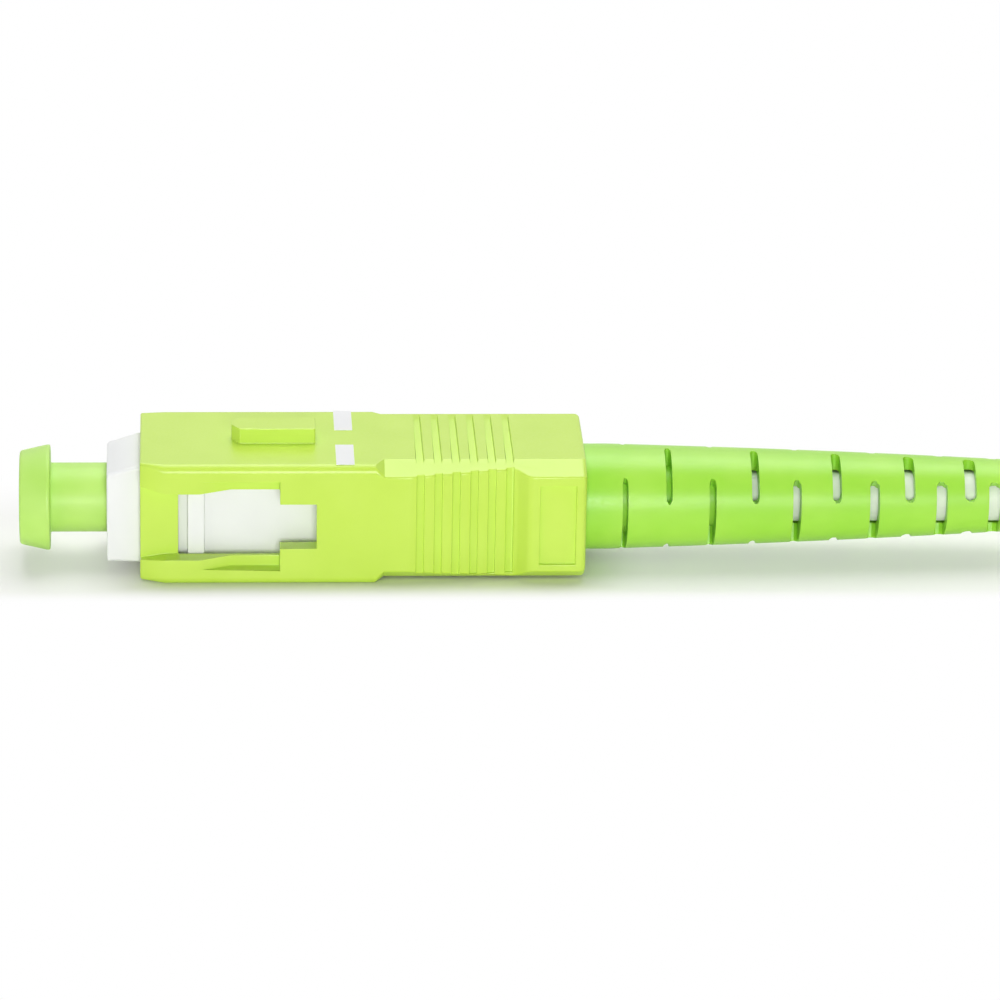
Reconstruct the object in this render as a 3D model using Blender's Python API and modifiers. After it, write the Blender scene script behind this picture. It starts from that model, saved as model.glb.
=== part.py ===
"""A simplex fibre optic patch cord: two push-pull square connectors on one 3 mm round cable.

Each connector is modelled once, along its own X axis: 0 is the front face of the grip housing,
+X runs back towards the cable, +Z is the key side, and the fibre is on the axis Y = Z = 0.
The near connector stands with its housing on the floor, nose at -X. The far one is its twin,
turned round. The cable between them is wound into a round coil of four layers.
"""

from itertools import combinations
from math import ceil, cos, dist, pi, radians, sin

import bmesh
import bpy
from mathutils import Vector

MM = 0.001

# Clearances
SLIDE_GAP = 0.10 * MM  # between pieces that slide on each other
SEAT_GAP = 0.05 * MM  # between pieces that are pressed or crimped together
STOP_GAP = 0.05 * MM  # between the faces that stop a slide

PAST = 1.0 * MM  # how far a cutter reaches beyond the face that it opens

# Plug frame: the white inner body
FRAME_FRONT = -1.93 * MM
FRAME_REAR = 18.4 * MM
FRAME_WIDTH = 5.5 * MM
FRAME_HEIGHT = 6.0 * MM
FRAME_LEAD_IN = 1.8 * MM
FRAME_TOP_FALL = 0.52 * MM
FRAME_SIDE_FALL = 0.15 * MM
FRAME_BORE = 4.7 * MM
FRAME_WALL_FRONT = 3.5 * MM
FRAME_WALL_THICKNESS = 0.8 * MM
FRAME_CHAMBER = 4.9 * MM
FRAME_EDGE = 0.25 * MM
LATCH_RIDGE_FRONT = 2.75 * MM
LATCH_RIDGE_LENGTH = 0.96 * MM
LATCH_RIDGE_RISE = 0.55 * MM
LATCH_RIDGE_HEIGHT = 5.2 * MM
SNAP_WINDOW_FRONT = 15.0 * MM
SNAP_WINDOW_LENGTH = 1.4 * MM
SNAP_WINDOW_WIDTH = 1.8 * MM

# Ferrule, its flange and the spring behind it
FERRULE_DIAMETER = 2.5 * MM
FERRULE_TIP = -3.0 * MM
FERRULE_LENGTH = 10.5 * MM
FERRULE_TIP_FLAT = 1.6 * MM
FERRULE_TIP_CHAMFER = 0.6 * MM
FERRULE_TRAVEL = 1.0 * MM
FLANGE_DIAMETER = 4.6 * MM
FLANGE_LENGTH = 1.95 * MM
FLANGE_NOTCH = 0.5 * MM
FLANGE_TUBE_DIAMETER = 2.8 * MM
FLANGE_TUBE_WALL = 0.45 * MM
FLANGE_TUBE_INTO_STOP = 1.1 * MM
SPRING_WIRE = 0.4 * MM
SPRING_CLEARANCE = 0.2 * MM  # round the flange's tube
SPRING_CURLS = 8
SPRING_CURL_POINTS = 8
BUFFER_DIAMETER = 0.9 * MM

# Backbone: the metal stop ring with its crimp barrel
BACKBONE_FRONT = 14.1 * MM
BACKBONE_LUG_RISE = 0.4 * MM
COLLAR_LENGTH = 0.6 * MM
COLLAR_DIAMETER = 5.6 * MM
BARREL_LENGTH = 5.7 * MM
BARREL_DIAMETER = 3.9 * MM
BARREL_BORE = 1.8 * MM
BARREL_RINGS = 5
BARREL_RING_DEPTH = 0.12 * MM
LUG_ROOT = 0.1 * MM  # how far the snap lugs start outside the bore

# Crimp
YARN_SET_BACK = 0.3 * MM  # behind the barrel's front
YARN_THICKNESS = 0.17 * MM
YARN_LENGTH = 5.2 * MM
SLEEVE_SET_BACK = 0.2 * MM
SLEEVE_PAST_BARREL = 0.1 * MM
SLEEVE_WALL = 0.28 * MM
SLEEVE_NECK_LENGTH = 1.0 * MM
SLEEVE_TAIL_LENGTH = 2.1 * MM
JACKET_SET_BACK = 0.2 * MM  # behind the front of the sleeve's tail
CABLE_DIAMETER = 3.0 * MM

# Strain relief boot
BOOT_MOUTH_DIAMETER = 6.16 * MM
BOOT_TAIL_DIAMETER = 4.05 * MM
BOOT_STRAIGHT_TO = 27.2 * MM
BOOT_BULGE = 0.09 * MM
BOOT_END = 52.4 * MM
BOOT_RIM = 0.22 * MM
BOOT_BORE_GAP = 0.12 * MM
BOOT_BORE_LAG = 0.3 * MM  # how far behind the sleeve's steps the bore's steps are
BOOT_BORE_SLOPE = 0.8 * MM
BOOT_STATIONS = 5
SLOT_COUNT = 11
SLOT_FIRST = 28.15 * MM
SLOT_PITCH = 2.56 * MM
SLOT_CLOSING = 0.01368 * MM  # the pitch shrinks by this much times the square of the slot's number
SLOT_WIDTH = 0.33 * MM
SLOT_WIDENING = 0.04 * MM
SLOT_SECTORS = ((radians(-19), radians(60)), (radians(120), radians(240)))  # the far one is shorter
SLOT_ARC_STEPS = 6
SLOTS_BLIND = 3  # the first slots stop short of the bore, each deeper than the one before
SLOT_FLOOR = 2.07 * MM  # the radius that the very first stops at
SLOT_FLOOR_FALL = 0.16 * MM
SLOT_REACH = 0.7 * MM  # how far the slots' cutters reach beyond either face of the wall
BOOT_TURN = radians(18)

# Grip housing
HOUSING_WIDTH = 9.0 * MM
HOUSING_HEIGHT = 7.4 * MM
HOUSING_LENGTH = 25.8 * MM
HOUSING_EDGE = 0.27 * MM
NOSE_FACET_LENGTH = 1.4 * MM
NOSE_FACET_DEPTH = 0.65 * MM  # on the near side
NOSE_FAR_FACET_DEPTH = 0.2 * MM
NOSE_TOP_FALL = 0.08 * MM
NOSE_EDGE = 0.1 * MM
STEP_FROM = 13.6 * MM
STEP_TO = 14.1 * MM
TAIL_INSET_SIDE = 0.1 * MM
TAIL_INSET_TOP = 0.2 * MM
TOP_CUT_WIDTH = 1.55 * MM  # the near top corner of the tail
TOP_CUT_HEIGHT = 0.55 * MM
LOW_CUT_WIDTH = 0.74 * MM  # its two bottom corners
LOW_CUT_HEIGHT = 0.57 * MM
FAR_TOP_EDGE = 0.1 * MM
TAIL_END_ROUND = 0.3 * MM
WAIST_FROM = 15.6 * MM
WAIST_TO = 21.7 * MM
WAIST_BACK = 22.5 * MM
WAIST_DEPTH = 0.7 * MM
GROOVE_COUNT = 6
GROOVE_FIRST = 15.95 * MM
GROOVE_PITCH = 1.04 * MM
GROOVE_WIDTH = 0.44 * MM
GROOVE_DEPTH = 0.16 * MM
GROOVE_END = 0.25 * MM  # how far from a corner a groove stops
HOUSING_WALL = 1.08 * MM
BRIDGE_LENGTH = 2.2 * MM
BRIDGE_RECESS = 1.05 * MM
CHANNEL_TOP = 1.95 * MM
CHANNEL_BOTTOM = -2.14 * MM
CHANNEL_FLARE = 0.23 * MM
CHANNEL_FLARE_LENGTH = 1.5 * MM
WINDOW_WIDE_END = 8.07 * MM
WINDOW_NARROW_TOP = 1.31 * MM
WINDOW_NARROW_BOTTOM = -1.43 * MM
WINDOW_NARROW_END = 10.19 * MM
RAMP_TOP = 2.7 * MM
RAMP_BOTTOM = -2.78 * MM
RAMP_FROM = 3.45 * MM
RAMP_TO = 5.25 * MM
RAMP_DEPTH = 0.78 * MM
CHAMBER_END_MARGIN = 0.25 * MM
GRIP_PUSH = 1.0 * MM  # how far the housing slides forwards on the plug frame
KEY_WIDTH = 1.85 * MM
KEY_RISE = 0.93 * MM
KEY_FRONT = 5.3 * MM
KEY_LENGTH = 4.86 * MM
KEY_BOW_LENGTH = 0.47 * MM
KEY_BOW_WIDTH = 0.5 * MM
KEY_ROOT = 0.3 * MM  # how far it goes down into the housing's top wall
LABEL_FRONT = 23.1 * MM
LABEL_LENGTH = 2.1 * MM
LABEL_TOP = 2.37 * MM
LABEL_BOTTOM = -2.53 * MM
LABEL_DEPTH = 0.18 * MM

# Dust cap
CAP_TIP = -7.0 * MM
CAP_HEAD_LENGTH = 1.77 * MM
CAP_TIP_DIAMETER = 5.43 * MM
CAP_RIM_DIAMETER = 6.13 * MM
CAP_NECK_DIAMETER = 4.03 * MM
CAP_NECK_END = 3.2 * MM
CAP_EDGE = 0.18 * MM
CAP_BORE_DEPTH_PAST_TIP = 0.4 * MM

# Cable and its coil, in the part's own frame
TURNS = 9
LAYERS = 4
COIL_RADIUS = 19.3 * MM  # the outermost turn's centreline
TURN_STEP = 4.05 * MM  # from one turn to the next beside it
LAYER_PITCH = 3.6 * MM
CLIMB_TURNS = 0.5
NEAR_LEAD = 20.4 * MM  # from the near boot's end to where the cable enters the coil
FAR_LEAD = 30.0 * MM  # from where it leaves the coil to the far boot's end
SIDE_STEP = 1.5 * MM  # the coil's tangent lies this far behind the connectors' axis
STRAIGHT_AT_BOOT = 2.5 * MM
STRAIGHT_AT_COIL = 3.0 * MM
CABLE_JOINT = 0.3 * MM
FLOOR_CLEARANCE = 0.02 * MM
COIL_POINT_COUNT = 24  # in each turn
LEAD_POINT_GAP = 2.2  # diameters, in the straight stretches
SWEEP_POINT_GAP = 1.1  # diameters, in the bent ones
FINE_POINT_COUNT = 192  # in each turn, to measure the length
GAP_POINT_COUNT = 48  # in each turn, to measure the gaps
NEIGHBOUR_RUN = 12.0 * MM  # stretches nearer than this along the cable aren't compared

# Colours as linear values, roughness, metallic
LIME = ((0.60, 0.85, 0.11), 0.42, 0.0)
SOFT_GREEN = ((0.38, 0.76, 0.10), 0.5, 0.0)
WHITE_PLASTIC = ((0.86, 0.87, 0.85), 0.45, 0.0)
CERAMIC = ((0.90, 0.89, 0.85), 0.15, 0.0)
NICKEL = ((0.62, 0.60, 0.56), 0.3, 1.0)
ALUMINIUM = ((0.76, 0.77, 0.78), 0.35, 1.0)
STEEL = ((0.60, 0.60, 0.61), 0.25, 1.0)
YARN_YELLOW = ((0.85, 0.66, 0.20), 0.8, 0.0)
BUFFER_WHITE = ((0.80, 0.82, 0.84), 0.5, 0.0)
JACKET = ((0.78, 0.83, 0.70), 0.5, 0.0)

# Sizes that follow from those above
AXIS_HEIGHT = HOUSING_HEIGHT / 2
ORIGIN_X = (CAP_TIP + BOOT_END) / 2
FERRULE_REAR = FERRULE_TIP + FERRULE_LENGTH
FLANGE_FRONT = FRAME_WALL_FRONT + FRAME_WALL_THICKNESS + STOP_GAP
FLANGE_REAR = FLANGE_FRONT + FLANGE_LENGTH
FLANGE_TUBE_END = BACKBONE_FRONT + FLANGE_TUBE_INTO_STOP
FERRULE_SEAT = FERRULE_DIAMETER / 2 + SEAT_GAP
SPRING_MEAN_RADIUS = FLANGE_TUBE_DIAMETER / 2 + SPRING_CLEARANCE + SPRING_WIRE / 2
COLLAR_FRONT = FRAME_REAR + SLIDE_GAP
BARREL_FRONT = COLLAR_FRONT + COLLAR_LENGTH
BARREL_END = BARREL_FRONT + BARREL_LENGTH
BACKBONE_BORE = FLANGE_TUBE_DIAMETER + 2 * SLIDE_GAP
YARN_FRONT = BARREL_FRONT + YARN_SET_BACK
YARN_INNER = BARREL_DIAMETER / 2 + SEAT_GAP
YARN_OUTER = YARN_INNER + YARN_THICKNESS
SLEEVE_FRONT = BARREL_FRONT + SLEEVE_SET_BACK
SLEEVE_BODY_END = BARREL_END + SLEEVE_PAST_BARREL
SLEEVE_TAIL = SLEEVE_BODY_END + SLEEVE_NECK_LENGTH
SLEEVE_END = SLEEVE_TAIL + SLEEVE_TAIL_LENGTH
SLEEVE_INNER = YARN_OUTER + SEAT_GAP
SLEEVE_OUTER = SLEEVE_INNER + SLEEVE_WALL
SLEEVE_TAIL_INNER = CABLE_DIAMETER / 2 + SEAT_GAP
SLEEVE_TAIL_OUTER = SLEEVE_TAIL_INNER + SLEEVE_WALL
JACKET_START = SLEEVE_TAIL + JACKET_SET_BACK
BUFFER_END = BARREL_END
BOOT_FRONT = SLEEVE_FRONT
BOOT_BORE = CABLE_DIAMETER / 2 + BOOT_BORE_GAP
CHAMBER_END = FRAME_REAR + GRIP_PUSH + SLIDE_GAP
HALF_WIDTH = HOUSING_WIDTH / 2
HALF_HEIGHT = HOUSING_HEIGHT / 2
TAIL_HALF_WIDTH = HALF_WIDTH - TAIL_INSET_SIDE
TAIL_HALF_HEIGHT = HALF_HEIGHT - TAIL_INSET_TOP
OPENING_HALF_WIDTH = FRAME_WIDTH / 2 + SLIDE_GAP + STOP_GAP
OPENING_HALF_HEIGHT = FRAME_HEIGHT / 2 + SLIDE_GAP
CHAMBER_HALF_WIDTH = HALF_WIDTH - HOUSING_WALL
NEAR_BOOT_END = BOOT_END - ORIGIN_X
COIL_X = NEAR_BOOT_END + NEAR_LEAD
COIL_Y = SIDE_STEP - COIL_RADIUS
COIL_BOTTOM = CABLE_DIAMETER / 2 + FLOOR_CLEARANCE
COIL_TOP = COIL_BOTTOM + LAYER_PITCH * (LAYERS - 1)
FAR_BOOT_END = COIL_X + FAR_LEAD
TURNS_PER_LAYER = TURNS / LAYERS


def clear_scene():
    for thing in list(bpy.data.objects):
        bpy.data.objects.remove(thing)


def new_collection(name):
    made = bpy.data.collections.new(name)
    bpy.context.scene.collection.children.link(made)
    return made


def new_material(name, look):
    colour, roughness, metallic = look
    material = bpy.data.materials.new(name)
    material.use_nodes = True
    shader = material.node_tree.nodes["Principled BSDF"]
    shader.inputs["Base Color"].default_value = (*colour, 1.0)
    shader.inputs["Roughness"].default_value = roughness
    shader.inputs["Metallic"].default_value = metallic
    material.diffuse_color = (*colour, 1.0)
    return material


def place(name, data, where, parent, material=None):
    """An object of this data, in this collection, carried by this empty."""
    piece = bpy.data.objects.new(name, data)
    where.objects.link(piece)
    piece.parent = parent
    if material:
        data.materials.append(material)
    return piece


def mesh_from(name, bm):
    bmesh.ops.recalc_face_normals(bm, faces=bm.faces)
    mesh = bpy.data.meshes.new(name)
    bm.to_mesh(mesh)
    bm.free()
    return mesh


def box_mesh(name, low, high):
    bm = bmesh.new()
    bmesh.ops.create_cube(bm, size=1)
    for vert in bm.verts:
        for axis in range(3):
            vert.co[axis] = low[axis] if vert.co[axis] < 0 else high[axis]
    return mesh_from(name, bm)


def boxes_mesh(name, boxes):
    """Several boxes that don't touch, as one mesh to cut with."""
    bm = bmesh.new()
    for low, high in boxes:
        made = bmesh.ops.create_cube(bm, size=1)
        for vert in made["verts"]:
            for axis in range(3):
                vert.co[axis] = low[axis] if vert.co[axis] < 0 else high[axis]
    return mesh_from(name, bm)


def loft_mesh(name, rings):
    """A closed skin over rings of as many points each, capped at both ends."""
    bm = bmesh.new()
    made = [[bm.verts.new(point) for point in ring] for ring in rings]
    for one, two in zip(made, made[1:]):
        for k in range(len(one)):
            bm.faces.new((one[k - 1], one[k], two[k], two[k - 1]))
    bm.faces.new(made[0])
    bm.faces.new(made[-1])
    return mesh_from(name, bm)


def prism_mesh(name, outline, low, high, across):
    """A flat outline drawn out across one axis: "Y" takes (x, z) points, "Z" takes (x, y) and "X" (y, z)."""
    place_at = {"X": lambda p, h: (h, *p), "Y": lambda p, h: (p[0], h, p[1]), "Z": lambda p, h: (*p, h)}
    bm = bmesh.new()
    face = bm.faces.new([bm.verts.new(place_at[across](point, low)) for point in outline])
    drawn = bmesh.ops.extrude_face_region(bm, geom=[face])
    moved = [thing for thing in drawn["geom"] if isinstance(thing, bmesh.types.BMVert)]
    bmesh.ops.translate(bm, verts=moved, vec=place_at[across]((0, 0), high - low))
    return mesh_from(name, bm)


def turned(name, profile, closed, steps, where, parent, material=None):
    """A turned piece on the connector's axis. The profile is (x, radius) points, the outside from rear to front."""
    bm = bmesh.new()
    verts = [bm.verts.new((radius, 0, x)) for x, radius in profile]
    for one, two in zip(verts, verts[1:]):
        bm.edges.new((one, two))
    if closed:
        bm.edges.new((verts[-1], verts[0]))
    mesh = bpy.data.meshes.new(name)
    bm.to_mesh(mesh)
    bm.free()
    piece = place(name, mesh, where, parent, material)
    piece.rotation_euler = (0, pi / 2, 0)
    screw = piece.modifiers.new("turn", "SCREW")
    screw.axis = "Z"
    screw.angle = 2 * pi
    screw.steps = steps
    screw.render_steps = steps
    screw.use_merge_vertices = True
    screw.merge_threshold = 0.002 * MM
    screw.use_smooth_shade = False
    return piece


def hide(tool):
    tool.hide_render = True
    tool.display_type = "WIRE"
    return tool


def cutter(name, mesh, home):
    return hide(place(name, mesh, home["cutters"], home["frame"]))


def combine(piece, tool, operation):
    change = piece.modifiers.new(f"{operation.lower()} {tool.name}", "BOOLEAN")
    change.operation = operation
    change.object = tool
    change.solver = "EXACT"


def cut(piece, *tools):
    for tool in tools:
        combine(piece, tool, "DIFFERENCE")


def join(piece, *tools):
    for tool in tools:
        combine(piece, tool, "UNION")


def chamfered(half_width, half_height, edge_y, edge_z, x):
    """A rectangle across the axis with its corners cut, as 8 points."""
    corners = [
        (half_width - edge_y, half_height),
        (half_width, half_height - edge_z),
        (half_width, -half_height + edge_z),
        (half_width - edge_y, -half_height),
    ]
    return [(x, y, z) for y, z in corners] + [(x, -y, z) for y, z in reversed(corners)]


# Pieces of one connector


def make_plug_frame(home):
    half_width = FRAME_WIDTH / 2
    half_height = FRAME_HEIGHT / 2
    lead_in = FRAME_FRONT + FRAME_LEAD_IN

    def section(x, side_fall, top_fall):
        edge = FRAME_EDGE
        ring = chamfered(half_width - side_fall, half_height, edge, edge, x)
        return [(px, y, z - top_fall if z > 0 else z) for px, y, z in ring]

    rings = [
        section(FRAME_FRONT, FRAME_SIDE_FALL, FRAME_TOP_FALL),
        section(lead_in, 0, 0),
        section(FRAME_REAR, 0, 0),
    ]
    frame = place("plug_frame", loft_mesh("plug_frame", rings), home["parts"], home["frame"], home["white"])
    reach = half_width + LATCH_RIDGE_RISE
    ridge_low = (LATCH_RIDGE_FRONT, -reach, -LATCH_RIDGE_HEIGHT / 2)
    ridge_high = (LATCH_RIDGE_FRONT + LATCH_RIDGE_LENGTH, reach, LATCH_RIDGE_HEIGHT / 2)
    ridge = cutter("latch_ridge", box_mesh("latch_ridge", ridge_low, ridge_high), home)
    wall_rear = FRAME_WALL_FRONT + FRAME_WALL_THICKNESS
    hole = FERRULE_DIAMETER / 2 + SLIDE_GAP + SEAT_GAP
    bore_profile = [
        (FRAME_REAR + PAST, 0),
        (FRAME_REAR + PAST, FRAME_CHAMBER / 2),
        (wall_rear, FRAME_CHAMBER / 2),
        (wall_rear, hole),
        (FRAME_WALL_FRONT, hole),
        (FRAME_WALL_FRONT, FRAME_BORE / 2),
        (FRAME_FRONT - PAST, FRAME_BORE / 2),
        (FRAME_FRONT - PAST, 0),
    ]
    bore = hide(turned("frame_bore", bore_profile, False, 32, home["cutters"], home["frame"]))
    snap_low = (SNAP_WINDOW_FRONT, -SNAP_WINDOW_WIDTH / 2, -HALF_HEIGHT)
    snap_high = (SNAP_WINDOW_FRONT + SNAP_WINDOW_LENGTH, SNAP_WINDOW_WIDTH / 2, HALF_HEIGHT)
    snap = cutter("snap_windows", box_mesh("snap_windows", snap_low, snap_high), home)
    join(frame, ridge)
    cut(frame, bore, snap)
    return frame


def make_ferrule(home):
    radius = FERRULE_DIAMETER / 2
    profile = [
        (FERRULE_REAR, 0),
        (FERRULE_REAR, radius - SEAT_GAP),
        (FERRULE_REAR - SEAT_GAP, radius),
        (FERRULE_TIP + FERRULE_TIP_CHAMFER, radius),
        (FERRULE_TIP, FERRULE_TIP_FLAT / 2),
        (FERRULE_TIP, 0),
    ]
    return turned("ferrule", profile, False, 32, home["parts"], home["frame"], home["ceramic"])


def make_flange(home):
    tube = FLANGE_TUBE_DIAMETER / 2
    seat_end = FERRULE_REAR + SEAT_GAP
    profile = [
        (FLANGE_TUBE_END, tube),
        (FLANGE_REAR, tube),
        (FLANGE_REAR, FLANGE_DIAMETER / 2),
        (FLANGE_FRONT, FLANGE_DIAMETER / 2),
        (FLANGE_FRONT, FERRULE_SEAT),
        (seat_end, FERRULE_SEAT),
        (seat_end, tube - FLANGE_TUBE_WALL),
        (FLANGE_TUBE_END, tube - FLANGE_TUBE_WALL),
    ]
    flange = turned("ferrule_flange", profile, True, 24, home["parts"], home["frame"], home["nickel"])
    rim = FLANGE_DIAMETER / 2
    half = FLANGE_NOTCH / 2
    front = FLANGE_FRONT - FLANGE_NOTCH
    inside = rim - FLANGE_NOTCH
    outside = rim + FLANGE_NOTCH
    notches = [
        ((front, inside, -half), (FLANGE_REAR + FLANGE_NOTCH, outside, half)),
        ((front, -outside, -half), (FLANGE_REAR + FLANGE_NOTCH, -inside, half)),
        ((front, -half, inside), (FLANGE_REAR + FLANGE_NOTCH, half, outside)),
        ((front, -half, -outside), (FLANGE_REAR + FLANGE_NOTCH, half, -inside)),
    ]
    cut(flange, cutter("flange_notches", boxes_mesh("flange_notches", notches), home))
    return flange


def make_spring(home):
    start = FLANGE_REAR + SEAT_GAP + SPRING_WIRE / 2
    end = BACKBONE_FRONT - SEAT_GAP - SPRING_WIRE / 2
    count = SPRING_CURLS * SPRING_CURL_POINTS
    points = []
    for k in range(count + 1):
        angle = 2 * pi * k / SPRING_CURL_POINTS
        x = start + (end - start) * k / count
        points.append((x, SPRING_MEAN_RADIUS * cos(angle), SPRING_MEAN_RADIUS * sin(angle)))
    wire = tube_curve("spring", points, SPRING_WIRE, 1)
    return place("spring", wire, home["parts"], home["frame"], home["steel"])


def make_buffer(home):
    radius = BUFFER_DIAMETER / 2
    front = FERRULE_REAR + SEAT_GAP
    profile = [(BUFFER_END, 0), (BUFFER_END, radius), (front, radius), (front, 0)]
    return turned("buffered_fibre", profile, False, 12, home["parts"], home["frame"], home["buffer"])


def make_backbone(home):
    nose = FRAME_CHAMBER / 2 - SLIDE_GAP
    barrel = BARREL_DIAMETER / 2
    ring_pitch = BARREL_LENGTH / (BARREL_RINGS + 1)
    outside = [(BARREL_END, barrel - BARREL_RING_DEPTH)]
    for k in reversed(range(BARREL_RINGS)):
        x = BARREL_FRONT + ring_pitch * (k + 1)
        quarter = ring_pitch / 4
        outside += [
            (x + quarter, barrel),
            (x, barrel),
            (x - quarter, barrel - BARREL_RING_DEPTH),
        ]
        if k:
            outside.append((x - 2 * quarter, barrel - BARREL_RING_DEPTH))
    bore_step = BARREL_FRONT
    profile = outside + [
        (BARREL_FRONT, barrel - BARREL_RING_DEPTH),
        (BARREL_FRONT, COLLAR_DIAMETER / 2),
        (COLLAR_FRONT, COLLAR_DIAMETER / 2),
        (COLLAR_FRONT, nose),
        (BACKBONE_FRONT, nose),
        (BACKBONE_FRONT, BACKBONE_BORE / 2),
        (bore_step, BACKBONE_BORE / 2),
        (bore_step, BARREL_BORE / 2),
        (BARREL_END, BARREL_BORE / 2),
    ]
    backbone = turned("backbone", profile, True, 20, home["parts"], home["frame"], home["nickel"])
    lug_reach = nose + BACKBONE_LUG_RISE
    half = SNAP_WINDOW_WIDTH / 2 - SLIDE_GAP
    front = SNAP_WINDOW_FRONT + SLIDE_GAP
    rear = SNAP_WINDOW_FRONT + SNAP_WINDOW_LENGTH - SLIDE_GAP
    inner = BACKBONE_BORE / 2 + LUG_ROOT
    lug = [(front, inner), (front, nose), (rear, lug_reach), (rear, inner)]
    lugs = [
        cutter("lug_top", prism_mesh("lug_top", lug, -half, half, "Y"), home),
        cutter("lug_bottom", prism_mesh("lug_bottom", [(x, -z) for x, z in lug], -half, half, "Y"), home),
    ]
    join(backbone, *lugs)
    return backbone


def make_yarn(home):
    end = YARN_FRONT + YARN_LENGTH
    profile = [(end, YARN_OUTER), (YARN_FRONT, YARN_OUTER), (YARN_FRONT, YARN_INNER), (end, YARN_INNER)]
    return turned("aramid_yarn", profile, True, 24, home["parts"], home["frame"], home["yarn"])


def make_crimp_sleeve(home):
    profile = [
        (SLEEVE_END, SLEEVE_TAIL_OUTER),
        (SLEEVE_TAIL, SLEEVE_TAIL_OUTER),
        (SLEEVE_BODY_END, SLEEVE_OUTER),
        (SLEEVE_FRONT, SLEEVE_OUTER),
        (SLEEVE_FRONT, SLEEVE_INNER),
        (SLEEVE_BODY_END, SLEEVE_INNER),
        (SLEEVE_TAIL, SLEEVE_TAIL_INNER),
        (SLEEVE_END, SLEEVE_TAIL_INNER),
    ]
    return turned("crimp_sleeve", profile, True, 24, home["parts"], home["frame"], home["aluminium"])


def boot_radius(x):
    """The boot's outer radius: straight inside the housing, then a taper with a slight bulge."""
    along = min(max((x - BOOT_STRAIGHT_TO) / (BOOT_END - BOOT_STRAIGHT_TO), 0), 1)
    straight = BOOT_MOUTH_DIAMETER / 2 + (BOOT_TAIL_DIAMETER - BOOT_MOUTH_DIAMETER) / 2 * along
    return straight + BOOT_BULGE * sin(pi * along)


def slot_centre(number):
    squares = (number - 1) * number * (2 * number - 1) / 6
    return SLOT_FIRST + SLOT_PITCH * number - SLOT_CLOSING * squares


def slot_outline(start, end, inner):
    """A sector of the section that one slot opens, from this radius to outside the boot."""
    outer = BOOT_MOUTH_DIAMETER / 2 + SLOT_REACH
    angles = [start + (end - start) * k / SLOT_ARC_STEPS for k in range(SLOT_ARC_STEPS + 1)]
    points = [(outer, angle) for angle in angles] + [(inner, angle) for angle in reversed(angles)]
    return [(radius * cos(angle), radius * sin(angle)) for radius, angle in points]


def make_boot(home):
    body_bore = SLEEVE_OUTER + SLIDE_GAP
    tail_bore = SLEEVE_TAIL_OUTER + SLIDE_GAP
    body_end = SLEEVE_BODY_END + BOOT_BORE_LAG
    tail_start = SLEEVE_TAIL + BOOT_BORE_LAG
    tail_end = SLEEVE_END + BOOT_BORE_LAG
    bore_start = tail_end + BOOT_BORE_SLOPE
    outside = [(BOOT_END, BOOT_TAIL_DIAMETER / 2 - BOOT_RIM)]
    for k in reversed(range(BOOT_STATIONS + 1)):
        x = BOOT_STRAIGHT_TO + (BOOT_END - BOOT_RIM - BOOT_STRAIGHT_TO) * k / BOOT_STATIONS
        outside.append((x, boot_radius(x)))
    profile = outside + [
        (BOOT_FRONT, BOOT_MOUTH_DIAMETER / 2),
        (BOOT_FRONT, body_bore),
        (body_end, body_bore),
        (tail_start, tail_bore),
        (tail_end, tail_bore),
        (bore_start, BOOT_BORE),
        (BOOT_END, BOOT_BORE),
    ]
    boot = turned("strain_relief_boot", profile, True, 24, home["parts"], home["frame"], home["soft"])
    bm = bmesh.new()
    for number in range(SLOT_COUNT):
        centre = slot_centre(number)
        half = (SLOT_WIDTH + SLOT_WIDENING * number) / 2
        inner = SLOT_FLOOR - SLOT_FLOOR_FALL * number if number < SLOTS_BLIND else BOOT_BORE - SLOT_REACH
        turn = BOOT_TURN + pi / 2 * (number % 2)
        for start, end in SLOT_SECTORS:
            outline = slot_outline(turn + start, turn + end, inner)
            sector = prism_mesh("sector", outline, centre - half, centre + half, "X")
            bm.from_mesh(sector)
            bpy.data.meshes.remove(sector)
    cut(boot, cutter("boot_slots", mesh_from("boot_slots", bm), home))
    return boot


def waist_depth(x):
    """How far the near side of the housing's tail is drawn in at x, for the finger."""
    if WAIST_FROM < x <= WAIST_TO:
        return WAIST_DEPTH * (x - WAIST_FROM) / (WAIST_TO - WAIST_FROM)
    if WAIST_TO < x < WAIST_BACK:
        return WAIST_DEPTH * (WAIST_BACK - x) / (WAIST_BACK - WAIST_TO)
    return 0.0


def tail_section(x, end_round=0.0):
    """The housing's section behind the step, as 8 points.

    Only the near side has the waist. The flats on top and bottom keep their width there, and the
    near corners' cuts take it up.
    """
    drawn_in = waist_depth(x)
    near = TAIL_HALF_WIDTH - drawn_in - end_round
    far = TAIL_HALF_WIDTH - end_round
    top = TAIL_HALF_HEIGHT - end_round / 2
    top_cut = TOP_CUT_WIDTH - drawn_in
    low_cut = LOW_CUT_WIDTH - drawn_in
    corners = [
        (far - FAR_TOP_EDGE, top),
        (far, top - FAR_TOP_EDGE),
        (far, -top + LOW_CUT_HEIGHT),
        (far - LOW_CUT_WIDTH, -top),
        (-near + low_cut, -top),
        (-near, -top + LOW_CUT_HEIGHT * low_cut / LOW_CUT_WIDTH),
        (-near, top - TOP_CUT_HEIGHT * top_cut / TOP_CUT_WIDTH),
        (-near + top_cut, top),
    ]
    return [(x, y, z) for y, z in corners]


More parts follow.
